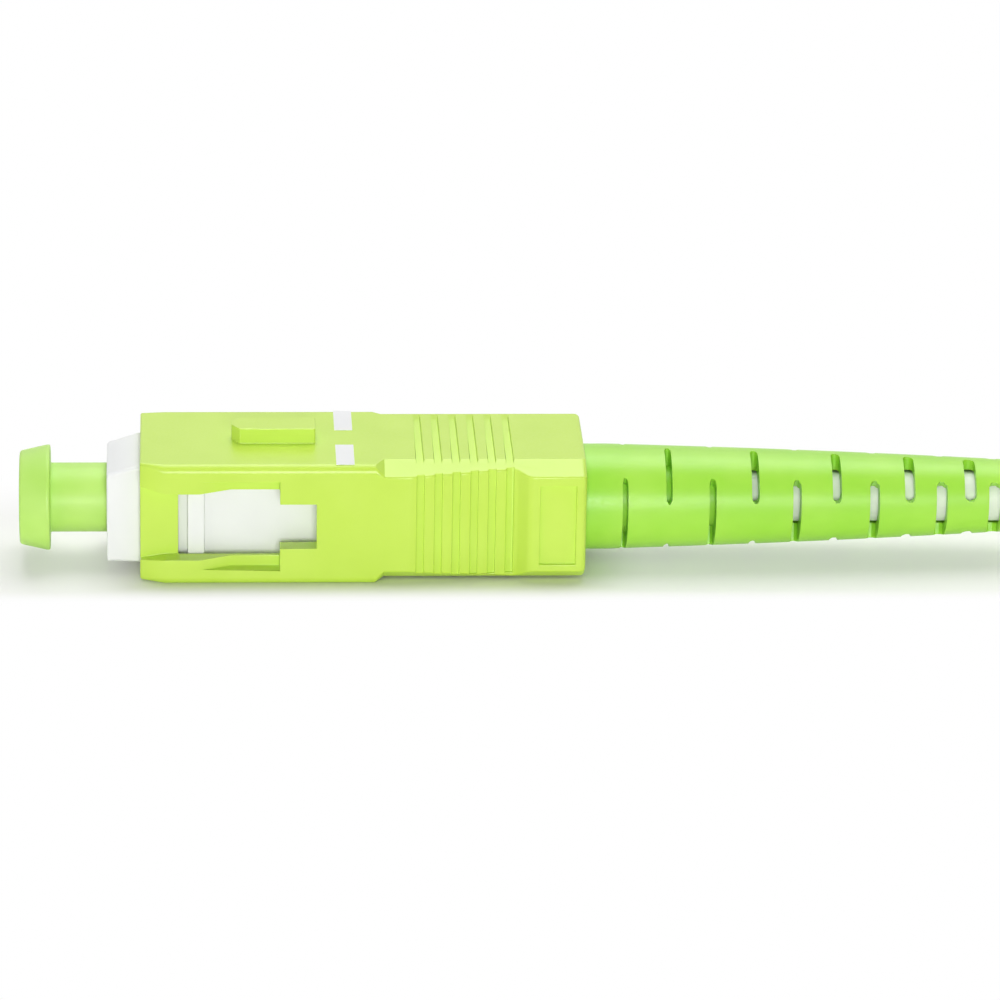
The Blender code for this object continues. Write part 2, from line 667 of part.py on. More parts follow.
def groove_boxes():
    """Six finger grooves on each of the four sides, square to the axis. They run out before the corners."""
    boxes = []
    side_reach = TAIL_HALF_HEIGHT - GROOVE_END
    flat_far = TAIL_HALF_WIDTH - GROOVE_END
    flat_near = TAIL_HALF_WIDTH - WAIST_DEPTH - GROOVE_END
    outside_y = HALF_WIDTH + PAST
    outside_z = HALF_HEIGHT + PAST
    floor_z = TAIL_HALF_HEIGHT - GROOVE_DEPTH
    for number in range(GROOVE_COUNT):
        front = GROOVE_FIRST + GROOVE_PITCH * number
        rear = front + GROOVE_WIDTH
        floor_near = TAIL_HALF_WIDTH - waist_depth(front + GROOVE_WIDTH / 2) - GROOVE_DEPTH
        floor_far = TAIL_HALF_WIDTH - GROOVE_DEPTH
        boxes += [
            ((front, -outside_y, -side_reach), (rear, -floor_near, side_reach)),
            ((front, floor_far, -side_reach), (rear, outside_y, side_reach)),
            ((front, -flat_near, floor_z), (rear, flat_far, outside_z)),
            ((front, -flat_near, -outside_z), (rear, flat_near, -floor_z)),
        ]
    return boxes


def make_grip_housing(home):
    nose = chamfered(HALF_WIDTH, HALF_HEIGHT - NOSE_TOP_FALL, NOSE_EDGE, NOSE_EDGE, 0)
    rings = [
        [(x, y - NOSE_FAR_FACET_DEPTH if y > 0 else y + NOSE_FACET_DEPTH, z) for x, y, z in nose],
        chamfered(HALF_WIDTH, HALF_HEIGHT, HOUSING_EDGE, HOUSING_EDGE, NOSE_FACET_LENGTH),
        chamfered(HALF_WIDTH, HALF_HEIGHT, HOUSING_EDGE, HOUSING_EDGE, STEP_FROM),
        tail_section(STEP_TO),
        tail_section(WAIST_FROM),
        tail_section(WAIST_TO),
        tail_section(WAIST_BACK),
        tail_section(HOUSING_LENGTH - TAIL_END_ROUND),
        tail_section(HOUSING_LENGTH, TAIL_END_ROUND),
    ]
    housing = place("grip_housing", loft_mesh("grip_housing", rings), home["parts"], home["frame"], home["lime"])

    key_half = KEY_WIDTH / 2
    bow_half = KEY_BOW_WIDTH / 2
    key_outline = [
        (KEY_FRONT, bow_half),
        (KEY_FRONT + KEY_BOW_LENGTH, key_half),
        (KEY_FRONT + KEY_LENGTH, key_half),
        (KEY_FRONT + KEY_LENGTH, -key_half),
        (KEY_FRONT + KEY_BOW_LENGTH, -key_half),
        (KEY_FRONT, -bow_half),
    ]
    key_foot = HALF_HEIGHT - KEY_ROOT
    key = cutter("key", prism_mesh("key", key_outline, key_foot, HALF_HEIGHT + KEY_RISE, "Z"), home)
    join(housing, key)

    chamber_to = WINDOW_NARROW_END + CHAMBER_END_MARGIN
    near_side = [
        (-PAST, OPENING_HALF_WIDTH),
        (BRIDGE_LENGTH, OPENING_HALF_WIDTH),
        (BRIDGE_LENGTH, CHAMBER_HALF_WIDTH),
        (chamber_to, CHAMBER_HALF_WIDTH),
        (chamber_to, OPENING_HALF_WIDTH),
        (CHAMBER_END, OPENING_HALF_WIDTH),
    ]
    chamber_outline = near_side + [(x, -y) for x, y in reversed(near_side)]
    chamber = prism_mesh("chamber", chamber_outline, -OPENING_HALF_HEIGHT, OPENING_HALF_HEIGHT, "Z")
    bore_radius = BOOT_MOUTH_DIAMETER / 2 + SLIDE_GAP
    bore_profile = [
        (HOUSING_LENGTH + PAST, 0),
        (HOUSING_LENGTH + PAST, bore_radius),
        (CHAMBER_END - PAST, bore_radius),
        (CHAMBER_END - PAST, 0),
    ]
    bore = hide(turned("housing_bore", bore_profile, False, 32, home["cutters"], home["frame"]))
    cut(housing, cutter("chamber", chamber, home), bore)

    wide = ((BRIDGE_LENGTH, -HOUSING_WIDTH, CHANNEL_BOTTOM), (WINDOW_WIDE_END, HOUSING_WIDTH, CHANNEL_TOP))
    narrow_low = (WINDOW_WIDE_END - PAST, -HOUSING_WIDTH, WINDOW_NARROW_BOTTOM)
    narrow_high = (WINDOW_NARROW_END, HOUSING_WIDTH, WINDOW_NARROW_TOP)
    flared = CHANNEL_FLARE * (1 + PAST / CHANNEL_FLARE_LENGTH)
    channel = [
        (-PAST, CHANNEL_TOP + flared),
        (CHANNEL_FLARE_LENGTH, CHANNEL_TOP),
        (BRIDGE_LENGTH + SLIDE_GAP, CHANNEL_TOP),
        (BRIDGE_LENGTH + SLIDE_GAP, CHANNEL_BOTTOM),
        (CHANNEL_FLARE_LENGTH, CHANNEL_BOTTOM),
        (-PAST, CHANNEL_BOTTOM - flared),
    ]
    cut(
        housing,
        cutter("window_wide", box_mesh("window_wide", *wide), home),
        cutter("window_narrow", box_mesh("window_narrow", narrow_low, narrow_high), home),
    )
    for name, sign in (("near", -1), ("far", 1)):
        outside = sign * (HALF_WIDTH + PAST)
        ramp = [
            (RAMP_FROM, outside),
            (RAMP_FROM, sign * HALF_WIDTH),
            (RAMP_TO, sign * (HALF_WIDTH - RAMP_DEPTH)),
            (WINDOW_WIDE_END, sign * (HALF_WIDTH - RAMP_DEPTH)),
            (WINDOW_WIDE_END, outside),
        ]
        recess = sorted((sign * (HALF_WIDTH - BRIDGE_RECESS), outside))
        cut(
            housing,
            cutter(f"ramp_{name}", prism_mesh("ramp", ramp, RAMP_BOTTOM, RAMP_TOP, "Z"), home),
            cutter(f"channel_{name}", prism_mesh("channel", channel, *recess, "Y"), home),
        )
    label_low = (LABEL_FRONT, -HALF_WIDTH - PAST, LABEL_BOTTOM)
    label_high = (LABEL_FRONT + LABEL_LENGTH, -TAIL_HALF_WIDTH + LABEL_DEPTH, LABEL_TOP)
    cut(
        housing,
        cutter("grooves", boxes_mesh("grooves", groove_boxes()), home),
        cutter("label", box_mesh("label", label_low, label_high), home),
    )
    return housing


def make_dust_cap(home):
    head_end = CAP_TIP + CAP_HEAD_LENGTH
    bore = FERRULE_DIAMETER / 2 + SEAT_GAP
    bore_end = FERRULE_TIP - CAP_BORE_DEPTH_PAST_TIP
    outside = [
        (CAP_NECK_END, bore + CAP_EDGE),
        (CAP_NECK_END, CAP_NECK_DIAMETER / 2 - CAP_EDGE),
        (CAP_NECK_END - CAP_EDGE, CAP_NECK_DIAMETER / 2),
        (head_end, CAP_NECK_DIAMETER / 2),
        (head_end, CAP_RIM_DIAMETER / 2 - CAP_EDGE),
        (head_end - CAP_EDGE, CAP_RIM_DIAMETER / 2),
        (CAP_TIP + CAP_EDGE, CAP_TIP_DIAMETER / 2),
        (CAP_TIP, CAP_TIP_DIAMETER / 2 - CAP_EDGE),
        (CAP_TIP, 0),
    ]
    inside = [(bore_end, 0), (bore_end, bore), (CAP_NECK_END - CAP_EDGE, bore)]
    return turned("dust_cap", inside + outside, False, 32, home["parts"], home["frame"], home["cap"])


# Cable


def tube_curve(name, points, diameter, resolution):
    curve = bpy.data.curves.new(name, "CURVE")
    curve.dimensions = "3D"
    curve.bevel_depth = diameter / 2
    curve.bevel_resolution = resolution
    curve.use_fill_caps = True
    spline = curve.splines.new("POLY")
    spline.points.add(len(points) - 1)
    for point, place_at in zip(spline.points, points):
        point.co = (*place_at, 1)
    return curve


def eased(share):
    """0 to 1 with a level start and finish, and the end value beyond either."""
    share = min(max(share, 0), 1)
    return share**3 * (share * (share * 6 - 15) + 10)


def turns_inward(turns):
    """How many turns' worth the spiral lies inward after so many turns: it stands still while the coil climbs."""
    inward = 0.0
    for layer in range(LAYERS):
        start = layer * TURNS_PER_LAYER + (CLIMB_TURNS / 2 if layer else 0)
        end = (layer + 1) * TURNS_PER_LAYER - (CLIMB_TURNS / 2 if layer < LAYERS - 1 else 0)
        spent = min(max(turns - start, 0), end - start)
        inward += spent if layer % 2 == 0 else -spent
    return inward


def coil_points(per_turn):
    """The coil's centreline: in and out again at one rate, a layer each way."""
    points = []
    for k in range(TURNS * per_turn + 1):
        turns = k / per_turn
        radius = COIL_RADIUS - TURN_STEP * turns_inward(turns)
        angle = pi / 2 - 2 * pi * turns
        height = COIL_BOTTOM
        for layer in range(1, LAYERS):
            height += LAYER_PITCH * eased((turns - layer * TURNS_PER_LAYER) / CLIMB_TURNS + 0.5)
        points.append((COIL_X + radius * cos(angle), COIL_Y + radius * sin(angle), height))
    return points


def straight(start, end):
    """Points from start to end, both ends included."""
    steps = max(1, ceil(dist(start, end) / (LEAD_POINT_GAP * CABLE_DIAMETER)))
    return [tuple(Vector(start).lerp(Vector(end), k / steps)) for k in range(steps + 1)]


def swept(start, end):
    """A stretch that leaves and arrives along X and eases across and down between, without its start."""
    steps = ceil((end[0] - start[0]) / (SWEEP_POINT_GAP * CABLE_DIAMETER))
    made = []
    for k in range(1, steps + 1):
        share = k / steps
        across = [start[axis] + (end[axis] - start[axis]) * eased(share) for axis in (1, 2)]
        made.append((start[0] + (end[0] - start[0]) * share, *across))
    return made


def near_lead():
    """From the jacket's end in the near connector: straight out of the boot, then down and aside to the coil."""
    start = (JACKET_START - ORIGIN_X, 0, AXIS_HEIGHT)
    out = (NEAR_BOOT_END + STRAIGHT_AT_BOOT, 0, AXIS_HEIGHT)
    end = (COIL_X - STRAIGHT_AT_COIL - CABLE_JOINT, SIDE_STEP, COIL_BOTTOM)
    return straight(start, out) + swept(out, end)


def far_lead():
    """From the coil's top turn down to the far connector's boot and into it."""
    start = (COIL_X + STRAIGHT_AT_COIL + CABLE_JOINT, SIDE_STEP, COIL_TOP)
    mouth = (FAR_BOOT_END - STRAIGHT_AT_BOOT, 0, AXIS_HEIGHT)
    end = (FAR_BOOT_END + BOOT_END - JACKET_START, 0, AXIS_HEIGHT)
    return [start] + swept(start, mouth) + straight(mouth, end)[1:]


def coil_with_ends(per_turn):
    """The coil's points with a straight stretch at either end, square to what it meets."""
    turns = coil_points(per_turn)
    first = (COIL_X - STRAIGHT_AT_COIL, SIDE_STEP, COIL_BOTTOM)
    last = (COIL_X + STRAIGHT_AT_COIL, SIDE_STEP, COIL_TOP)
    return [first] + turns + [last]


def least_gap(points, diameter, apart):
    """The least clear gap between stretches of one tube that lie further apart than this along it."""
    run = [0.0]
    for one, two in zip(points, points[1:]):
        run.append(run[-1] + dist(one, two))
    pairs = combinations(range(len(points)), 2)
    return min(dist(points[i], points[j]) for i, j in pairs if run[j] - run[i] > apart) - diameter


def length_of(points):
    return sum(dist(one, two) for one, two in zip(points, points[1:]))


def make_cable(home):
    """Two leads and the coil, each its own solid, meeting face to face."""
    near = near_lead()
    far = far_lead()
    pieces = [
        ("cable_near", near, 2),
        ("cable_coil", coil_with_ends(COIL_POINT_COUNT), 1),
        ("cable_far", far, 2),
    ]
    for name, points, resolution in pieces:
        curve = tube_curve(name, points, CABLE_DIAMETER, resolution)
        place(name, curve, home["parts"], None, home["jacket"])
    fine = near + coil_with_ends(FINE_POINT_COUNT) + far
    middling = near + coil_with_ends(GAP_POINT_COUNT) + far
    gap = least_gap(middling, CABLE_DIAMETER, NEIGHBOUR_RUN)
    jacket = length_of(fine)
    tip_to_tip = jacket + 2 * (JACKET_START - FERRULE_TIP)
    print(f"coil: least gap to itself {gap / MM:.2f} mm")
    print(f"cable: jacket {jacket / MM:.0f} mm, ferrule tip to ferrule tip {tip_to_tip / MM:.0f} mm")


def twin(piece, home, far_frame):
    """The far connector's copy of a finished piece: its evaluated mesh, carried by the far empty."""
    graph = bpy.context.evaluated_depsgraph_get()
    mesh = bpy.data.meshes.new_from_object(piece.evaluated_get(graph))
    copy = place(f"{piece.name}_far", mesh, home["parts"], far_frame)
    copy.rotation_euler = piece.rotation_euler


def main():
    clear_scene()
    parts = new_collection("fibre_optic_patch_cord")
    cutters = new_collection("cutters")
    cutters.hide_render = True
    near_frame = bpy.data.objects.new("near_connector", None)
    far_frame = bpy.data.objects.new("far_connector", None)
    for frame in (near_frame, far_frame):
        parts.objects.link(frame)
    near_frame.location = (-ORIGIN_X, 0, AXIS_HEIGHT)
    far_frame.location = (FAR_BOOT_END + BOOT_END, 0, AXIS_HEIGHT)
    far_frame.rotation_euler = (0, 0, pi)
    home = {
        "parts": parts,
        "cutters": cutters,
        "frame": near_frame,
        "lime": new_material("lime_abs", LIME),
        "cap": new_material("soft_green_cap", SOFT_GREEN),
        "soft": new_material("green_elastomer", SOFT_GREEN),
        "white": new_material("white_pbt", WHITE_PLASTIC),
        "ceramic": new_material("zirconia", CERAMIC),
        "nickel": new_material("nickel_plated_brass", NICKEL),
        "aluminium": new_material("aluminium", ALUMINIUM),
        "steel": new_material("spring_steel", STEEL),
        "yarn": new_material("aramid", YARN_YELLOW),
        "buffer": new_material("buffer_tube", BUFFER_WHITE),
        "jacket": new_material("cable_jacket", JACKET),
    }
    makers = (
        make_plug_frame,
        make_ferrule,
        make_flange,
        make_spring,
        make_buffer,
        make_backbone,
        make_yarn,
        make_crimp_sleeve,
        make_boot,
        make_grip_housing,
        make_dust_cap,
    )
    pieces = [make(home) for make in makers]
    bpy.context.view_layer.update()
    for piece in pieces:
        twin(piece, home, far_frame)
    make_cable(home)


main()
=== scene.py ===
"""The looks of a fibre optic patch cord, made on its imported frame.

The near connector lies on a pale table with its nose to the left and its key up, and the boot runs
out of the picture. The cable beyond it is coiled out of view, and the far connector is a twin.

Lengths are in metres. A connector is made in its own frame: "along" runs from the front face of its
grip housing back to the cable, "across" to its far side, "up" to its key, and the fibre is at 0, 0.
"""

from math import atan2, cos, dist, pi, radians, sin, tan

import bmesh
import bpy
from mathutils import Matrix, Vector


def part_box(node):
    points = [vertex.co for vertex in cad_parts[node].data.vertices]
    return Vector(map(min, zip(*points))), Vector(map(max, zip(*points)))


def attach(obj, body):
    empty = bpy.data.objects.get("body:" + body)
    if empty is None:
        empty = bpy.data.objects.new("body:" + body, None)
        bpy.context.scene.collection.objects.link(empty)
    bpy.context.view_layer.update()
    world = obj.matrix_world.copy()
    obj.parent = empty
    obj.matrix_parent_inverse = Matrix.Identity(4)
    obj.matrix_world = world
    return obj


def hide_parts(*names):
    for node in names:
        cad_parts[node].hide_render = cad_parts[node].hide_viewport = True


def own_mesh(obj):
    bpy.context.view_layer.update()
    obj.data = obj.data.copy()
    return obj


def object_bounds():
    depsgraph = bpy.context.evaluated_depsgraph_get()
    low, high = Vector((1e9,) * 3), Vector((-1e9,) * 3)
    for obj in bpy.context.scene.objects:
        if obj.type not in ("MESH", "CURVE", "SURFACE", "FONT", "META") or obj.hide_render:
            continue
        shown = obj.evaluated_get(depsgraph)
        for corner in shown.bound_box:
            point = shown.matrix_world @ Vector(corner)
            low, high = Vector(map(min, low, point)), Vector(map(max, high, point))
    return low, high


MM = 0.001
ROOT = "cable_and_frames"

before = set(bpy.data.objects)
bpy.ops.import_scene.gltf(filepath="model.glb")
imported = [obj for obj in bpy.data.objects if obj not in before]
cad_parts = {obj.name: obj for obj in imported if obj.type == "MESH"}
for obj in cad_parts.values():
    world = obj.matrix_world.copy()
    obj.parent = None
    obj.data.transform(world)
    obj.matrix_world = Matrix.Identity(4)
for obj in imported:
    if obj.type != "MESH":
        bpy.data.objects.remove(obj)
cad_low, cad_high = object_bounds()


def corners_of(node):
    """A near connector's node's box in that connector's own frame."""
    housing_low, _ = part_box("grip_housing")
    axis = Vector((housing_low.x, 0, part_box("ferrule")[0].z + radius_of("ferrule")))
    low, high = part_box(node)
    return low - axis, high - axis


def radius_of(node):
    low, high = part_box(node)
    return (high.z - low.z) / 2


def span_of(node):
    """Where a near connector's node starts and ends along that connector."""
    low, high = corners_of(node)
    return low.x, high.x


def seat(side):
    """From a connector's own frame to the part's."""
    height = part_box("ferrule")[0].z + radius_of("ferrule")
    if side == "near":
        return Matrix.Translation((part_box("grip_housing")[0].x, 0, height))
    return Matrix.Translation((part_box("grip_housing_far")[1].x, 0, height)) @ Matrix.Rotation(pi, 4, "Z")


# ---------------------------------------------------------------- camera

PICTURE = 1000  # the picture's width and height in pixels
SENSOR = 36.0  # mm
PIXELS_PER_MM = 17.1  # at the connector's axis
AXIS_ROW = 496.2  # the picture row that the axis runs along
CENTRE_ALONG = 21.0 * MM  # what lies in the middle column
DISTANCE = 360 * MM
ELEVATION = radians(22.2)
YAW = radians(3.2)
ROLL = radians(1.1)


def make_camera():
    """Looks down at the connector from the front, turned a little towards its cable."""
    target = seat("near") @ Vector((CENTRE_ALONG, 0, 0))
    ahead = Vector((sin(YAW) * cos(ELEVATION), cos(YAW) * cos(ELEVATION), -sin(ELEVATION)))
    right = Vector((cos(YAW), -sin(YAW), 0))
    up = right.cross(ahead)
    drop = (PICTURE / 2 - AXIS_ROW) / PIXELS_PER_MM * MM
    turned_right = right * cos(ROLL) + up * sin(ROLL)
    turned_up = up * cos(ROLL) - right * sin(ROLL)
    data = bpy.data.cameras.new("camera")
    data.sensor_width = SENSOR
    data.lens = SENSOR * PIXELS_PER_MM * DISTANCE / MM / PICTURE
    data.clip_start = 0.01
    camera = bpy.data.objects.new("camera", data)
    bpy.context.scene.collection.objects.link(camera)
    axes = Matrix((turned_right, turned_up, -ahead)).transposed().to_4x4()
    camera.matrix_world = Matrix.Translation(target - ahead * DISTANCE - up * drop) @ axes
    bpy.context.scene.camera = camera


# ---------------------------------------------------------------- cable

CABLE = 3.0 * MM
JACKET_START = 26.1 * MM
TURNS = 9
LAYERS = 4
COIL_RADIUS = 19.3 * MM
TURN_STEP = 4.05 * MM
LAYER_PITCH = 3.6 * MM
CLIMB_TURNS = 0.5
NEAR_LEAD = 20.4 * MM
SIDE_STEP = 1.5 * MM
STRAIGHT_AT_BOOT = 2.5 * MM
STRAIGHT_AT_COIL = 3.3 * MM
FLOOR_CLEARANCE = 0.02 * MM
TURN_POINTS = 72
SWEEP_POINTS = 16
BOOT_POINTS = 4
TURNS_PER_LAYER = TURNS / LAYERS
CABLE_RESOLUTION = 5


def eased(share):
    """0 to 1 with a level start and finish, and the end value beyond either."""
    share = min(max(share, 0), 1)
    return share**3 * (share * (share * 6 - 15) + 10)


def turns_inward(turns):
    """How many turns' worth the spiral lies inward: it stands still while the coil climbs a layer."""
    inward = 0.0
    for layer in range(LAYERS):
        start = layer * TURNS_PER_LAYER + (CLIMB_TURNS / 2 if layer else 0)
        end = (layer + 1) * TURNS_PER_LAYER - (CLIMB_TURNS / 2 if layer < LAYERS - 1 else 0)
        spent = min(max(turns - start, 0), end - start)
        inward += spent if layer % 2 == 0 else -spent
    return inward


def coil_points(centre, bottom):
    """The coil's centreline: in and out again at one rate, a layer each way."""
    points = []
    for k in range(TURNS * TURN_POINTS + 1):
        turns = k / TURN_POINTS
        radius = COIL_RADIUS - TURN_STEP * turns_inward(turns)
        angle = pi / 2 - 2 * pi * turns
        height = bottom
        for layer in range(1, LAYERS):
            height += LAYER_PITCH * eased((turns - layer * TURNS_PER_LAYER) / CLIMB_TURNS + 0.5)
        points.append((centre.x + radius * cos(angle), centre.y + radius * sin(angle), height))
    return points


def straight(start, end):
    return [tuple(Vector(start).lerp(Vector(end), k / BOOT_POINTS)) for k in range(BOOT_POINTS + 1)]


def swept(start, end):
    """A stretch that leaves and arrives along X and eases across and down between, without its start."""
    made = []
    for k in range(1, SWEEP_POINTS + 1):
        share = k / SWEEP_POINTS
        across = [start[axis] + (end[axis] - start[axis]) * eased(share) for axis in (1, 2)]
        made.append((start[0] + (end[0] - start[0]) * share, *across))
    return made


def cable_points():
    """The whole cable from one crimp to the other: boot, lead, coil, lead, boot."""
    start = seat("near") @ Vector((JACKET_START, 0, 0))
    finish = seat("far") @ Vector((JACKET_START, 0, 0))
    near_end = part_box("strain_relief_boot")[1].x
    far_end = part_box("strain_relief_boot_far")[0].x
    centre = Vector((near_end + NEAR_LEAD, SIDE_STEP - COIL_RADIUS, 0))
    bottom = CABLE / 2 + FLOOR_CLEARANCE
    top = bottom + LAYER_PITCH * (LAYERS - 1)
    out = (near_end + STRAIGHT_AT_BOOT, 0, start.z)
    arrival = (centre.x - STRAIGHT_AT_COIL, SIDE_STEP, bottom)
    departure = (centre.x + STRAIGHT_AT_COIL, SIDE_STEP, top)
    mouth = (far_end - STRAIGHT_AT_BOOT, 0, start.z)
    near_lead = straight(start, out) + swept(out, arrival)
    far_lead = [departure] + swept(departure, mouth) + straight(mouth, finish)[1:]
    return near_lead + coil_points(centre, bottom) + far_lead


def round_wire(name, radius, points, resolution):
    """A curve of round section through these points, with closed ends."""
    curve = bpy.data.curves.new(name, "CURVE")
    curve.dimensions = "3D"
    curve.bevel_depth = radius
    curve.bevel_resolution = resolution
    curve.use_fill_caps = True
    spline = curve.splines.new("POLY")
    spline.points.add(len(points) - 1)
    for point, place in zip(spline.points, points):
        point.co = (*place, 1)
    return curve


def make_cable(finish):
    points = cable_points()
    cable = new_object("cable", round_wire("cable", CABLE / 2, points, CABLE_RESOLUTION), finish)
    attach(cable, ROOT)
    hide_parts("cable_near", "cable_coil", "cable_far")
    length = sum(dist(one, two) for one, two in zip(points, points[1:]))
    return cable, length


# ---------------------------------------------------------------- materials


def linear(hex_text):
    """A colour written as sRGB hex, as linear red, green, blue and alpha."""
    parts = [int(hex_text[k : k + 2], 16) / 255 for k in (0, 2, 4)]
    return (*(((c + 0.055) / 1.055) ** 2.4 if c > 0.04045 else c / 12.92 for c in parts), 1.0)


def add(tree, kind, settings=(), links=()):
    """One node with its settings, by property or socket, and its incoming links."""
    node = tree.nodes.new(kind)
    for key, value in dict(settings).items():
        if isinstance(key, int) or key in node.inputs:
            node.inputs[key].default_value = value
        else:
            setattr(node, key, value)
    for key, socket in dict(links).items():
        tree.links.new(socket, node.inputs[key])
    return node


def new_material(name):
    material = bpy.data.materials.new(name)
    material.use_nodes = True
    tree = material.node_tree
    tree.nodes.clear()
    output = add(tree, "ShaderNodeOutputMaterial")
    shader = add(tree, "ShaderNodeBsdfPrincipled")
    tree.links.new(shader.outputs[0], output.inputs[0])
    place = add(tree, "ShaderNodeTexCoord").outputs["Object"]
    return material, tree, shader, place


def spread(tree, value, low, high):
    """A noise, whose values crowd round one half, drawn out between two numbers."""
    ends = {"From Min": 0.35, "From Max": 0.65, "To Min": low, "To Max": high}
    return add(tree, "ShaderNodeMapRange", ends, {"Value": value}).outputs[0]


def noise(tree, place, size, detail=2.0):
    """A noise whose blotches are about this size."""
    settings = {"Scale": 1 / size, "Detail": detail}
    return add(tree, "ShaderNodeTexNoise", settings, {"Vector": place}).outputs["Fac"]


def tint(tree, shader, share, one, two):
    """Colours the shader between two hex colours."""
    ends = {"data_type": "RGBA", 6: linear(one), 7: linear(two)}
    mixed = add(tree, "ShaderNodeMix", ends, {0: share})
    tree.links.new(mixed.outputs[2], shader.inputs["Base Color"])


def relief(tree, shader, height, depth):
    """Bump of this depth."""
    bump = add(tree, "ShaderNodeBump", {"Distance": depth}, {"Height": height})
    tree.links.new(bump.outputs[0], shader.inputs["Normal"])


CLOUDS = 3.5 * MM  # across, where a moulding's colour drifts
WEAR = 0.8 * MM  # across, where a metal is handled
POLISH = 0.3 * MM
FILAMENT = 0.04 * MM
LIGHT_REACH = 0.8 * MM  # how far in light goes where there is haze


def moulded_plastic(name, one, two, grain, depth, roughness, ior, haze=0.0):
    """An injection-moulded plastic: its colour clouds between two close tints, over the grain of its tool.

    The grain is the width of a pit of the spark-eroded tool, and the depth is that of a pit, both
    drawn larger than the real 0.03 mm so that they show. Haze lets light a little way in.
    """
    material, tree, shader, place = new_material(name)
    tint(tree, shader, spread(tree, noise(tree, place, CLOUDS), 0, 1), one, two)
    pits = noise(tree, place, grain, 3.0)
    relief(tree, shader, pits, depth)
    tree.links.new(spread(tree, pits, roughness - 0.04, roughness + 0.05), shader.inputs["Roughness"])
    shader.inputs["IOR"].default_value = ior
    if haze:
        shader.inputs["Subsurface Weight"].default_value = haze
        shader.inputs["Subsurface Radius"].default_value = (1.0, 1.0, 0.4)
        shader.inputs["Subsurface Scale"].default_value = LIGHT_REACH
    return material


def turned_metal(name, shade, pitch, roughness):
    """A metal turned on a lathe: fine rings round the connector's axis draw the gloss out.

    The pitch of the rings is that of the tool's feed, drawn about double so that it shows.
    """
    material, tree, shader, place = new_material(name)
    bands = {"wave_type": "BANDS", "bands_direction": "X", "Scale": 0.05 / pitch, "Distortion": 0.6}
    rings = add(tree, "ShaderNodeTexWave", bands, {"Vector": place}).outputs["Fac"]
    relief(tree, shader, rings, 0.003 * MM)
    wear = noise(tree, place, WEAR)
    tree.links.new(spread(tree, wear, roughness - 0.05, roughness + 0.07), shader.inputs["Roughness"])
    shader.inputs["Base Color"].default_value = linear(shade)
    shader.inputs["Metallic"].default_value = 1.0
    return material


def polished_zirconia():
    """Zirconia, sintered, ground and polished: ivory white and glossy, with faint clouds."""
    material, tree, shader, place = new_material("polished_zirconia")
    tint(tree, shader, spread(tree, noise(tree, place, 2 * POLISH), 0, 1), "f4f1e8", "eeeadf")
    polish = noise(tree, place, POLISH)
    tree.links.new(spread(tree, polish, 0.06, 0.12), shader.inputs["Roughness"])
    shader.inputs["IOR"].default_value = 2.1
    return material


def laid_yarn():
    """Aramid yarn, spun fine and laid straight: straw yellow and soft, with ridges along its filaments.

    A filament is 0.012 mm thick, and is drawn 0.04 mm thick so that it shows.
    """
    material, tree, shader, place = new_material("laid_aramid_yarn")
    stretched = add(tree, "ShaderNodeMapping", {"Scale": (0.05, 1, 1)}, {"Vector": place}).outputs[0]
    filaments = noise(tree, stretched, FILAMENT)
    tint(tree, shader, spread(tree, filaments, 0, 1), "e8c652", "b98f27")
    relief(tree, shader, filaments, FILAMENT / 2)
    shader.inputs["Roughness"].default_value = 0.65
    shader.inputs["Sheen Weight"].default_value = 0.3
    return material


def make_finishes():
    """Every finish of the cord, by the record's slot."""
    return {
        # Lime ABS, moulded in a spark-eroded tool: satin, and pale where it mirrors a white room.
        "lime_plastic": moulded_plastic(
            "moulded_lime_abs", "c5e74c", "c9ea53", 0.14 * MM, 0.004 * MM, 0.33, 1.54
        ),
        # Green low-density polyethylene, moulded: waxy, and light goes a little way in.
        "cap_green": moulded_plastic(
            "moulded_green_ldpe", "b6e667", "bfeb73", 0.3 * MM, 0.002 * MM, 0.45, 1.51, haze=0.1
        ),
        # Green thermoplastic elastomer, moulded: soft and satin.
        "soft_green": moulded_plastic(
            "moulded_green_tpe", "9fdf3d", "a9e449", 0.2 * MM, 0.004 * MM, 0.36, 1.5, haze=0.1
        ),
        # White PBT, moulded: plain and close.
        "white_plastic": moulded_plastic(
            "moulded_white_pbt", "edeeef", "f1f2f3", 0.15 * MM, 0.003 * MM, 0.35, 1.55
        ),
        "ceramic": polished_zirconia(),
        # Brass, turned and nickel plated: warm grey, with fine turning rings.
        "nickel": turned_metal("nickel_plated_brass", "cfcac2", 0.12 * MM, 0.28),
        # Aluminium tube, drawn and annealed: pale and satin.
        "aluminium": turned_metal("drawn_aluminium", "dfe0e1", 0.2 * MM, 0.38),
        # Spring wire, drawn: bright, with draw marks.
        "steel": turned_metal("drawn_spring_wire", "b9babb", 0.3 * MM, 0.25),
        "yarn": laid_yarn(),
        # The fibre's nylon buffer, extruded: smooth and bluish white.
        "buffer": moulded_plastic(
            "extruded_nylon_buffer", "e2e7ec", "ebeff3", 0.2 * MM, 0.001 * MM, 0.3, 1.53
        ),
        # Cable jacket of flame-retardant polyolefin, extruded: whitish and satin.
        "jacket": moulded_plastic(
            "extruded_polyolefin_jacket", "eef0ea", "f4f6f0", 0.25 * MM, 0.004 * MM, 0.42, 1.5
        ),
    }


# ---------------------------------------------------------------- mesh sizes

WELD = 0.0001 * MM
SPECK = 0.002 * MM
FLAT_ANGLE = radians(0.5)
CORNER_STEPS = 4
CORNER_SHARE = 0.48  # how much of its shorter side a rounded corner may take
TURN_SEGMENTS = 96
CREASE = radians(35)


def new_object(name, mesh, finish=None):
    piece = bpy.data.objects.new(name, mesh)
    bpy.context.scene.collection.objects.link(piece)
    if finish:
        mesh.materials.append(finish)
    return piece


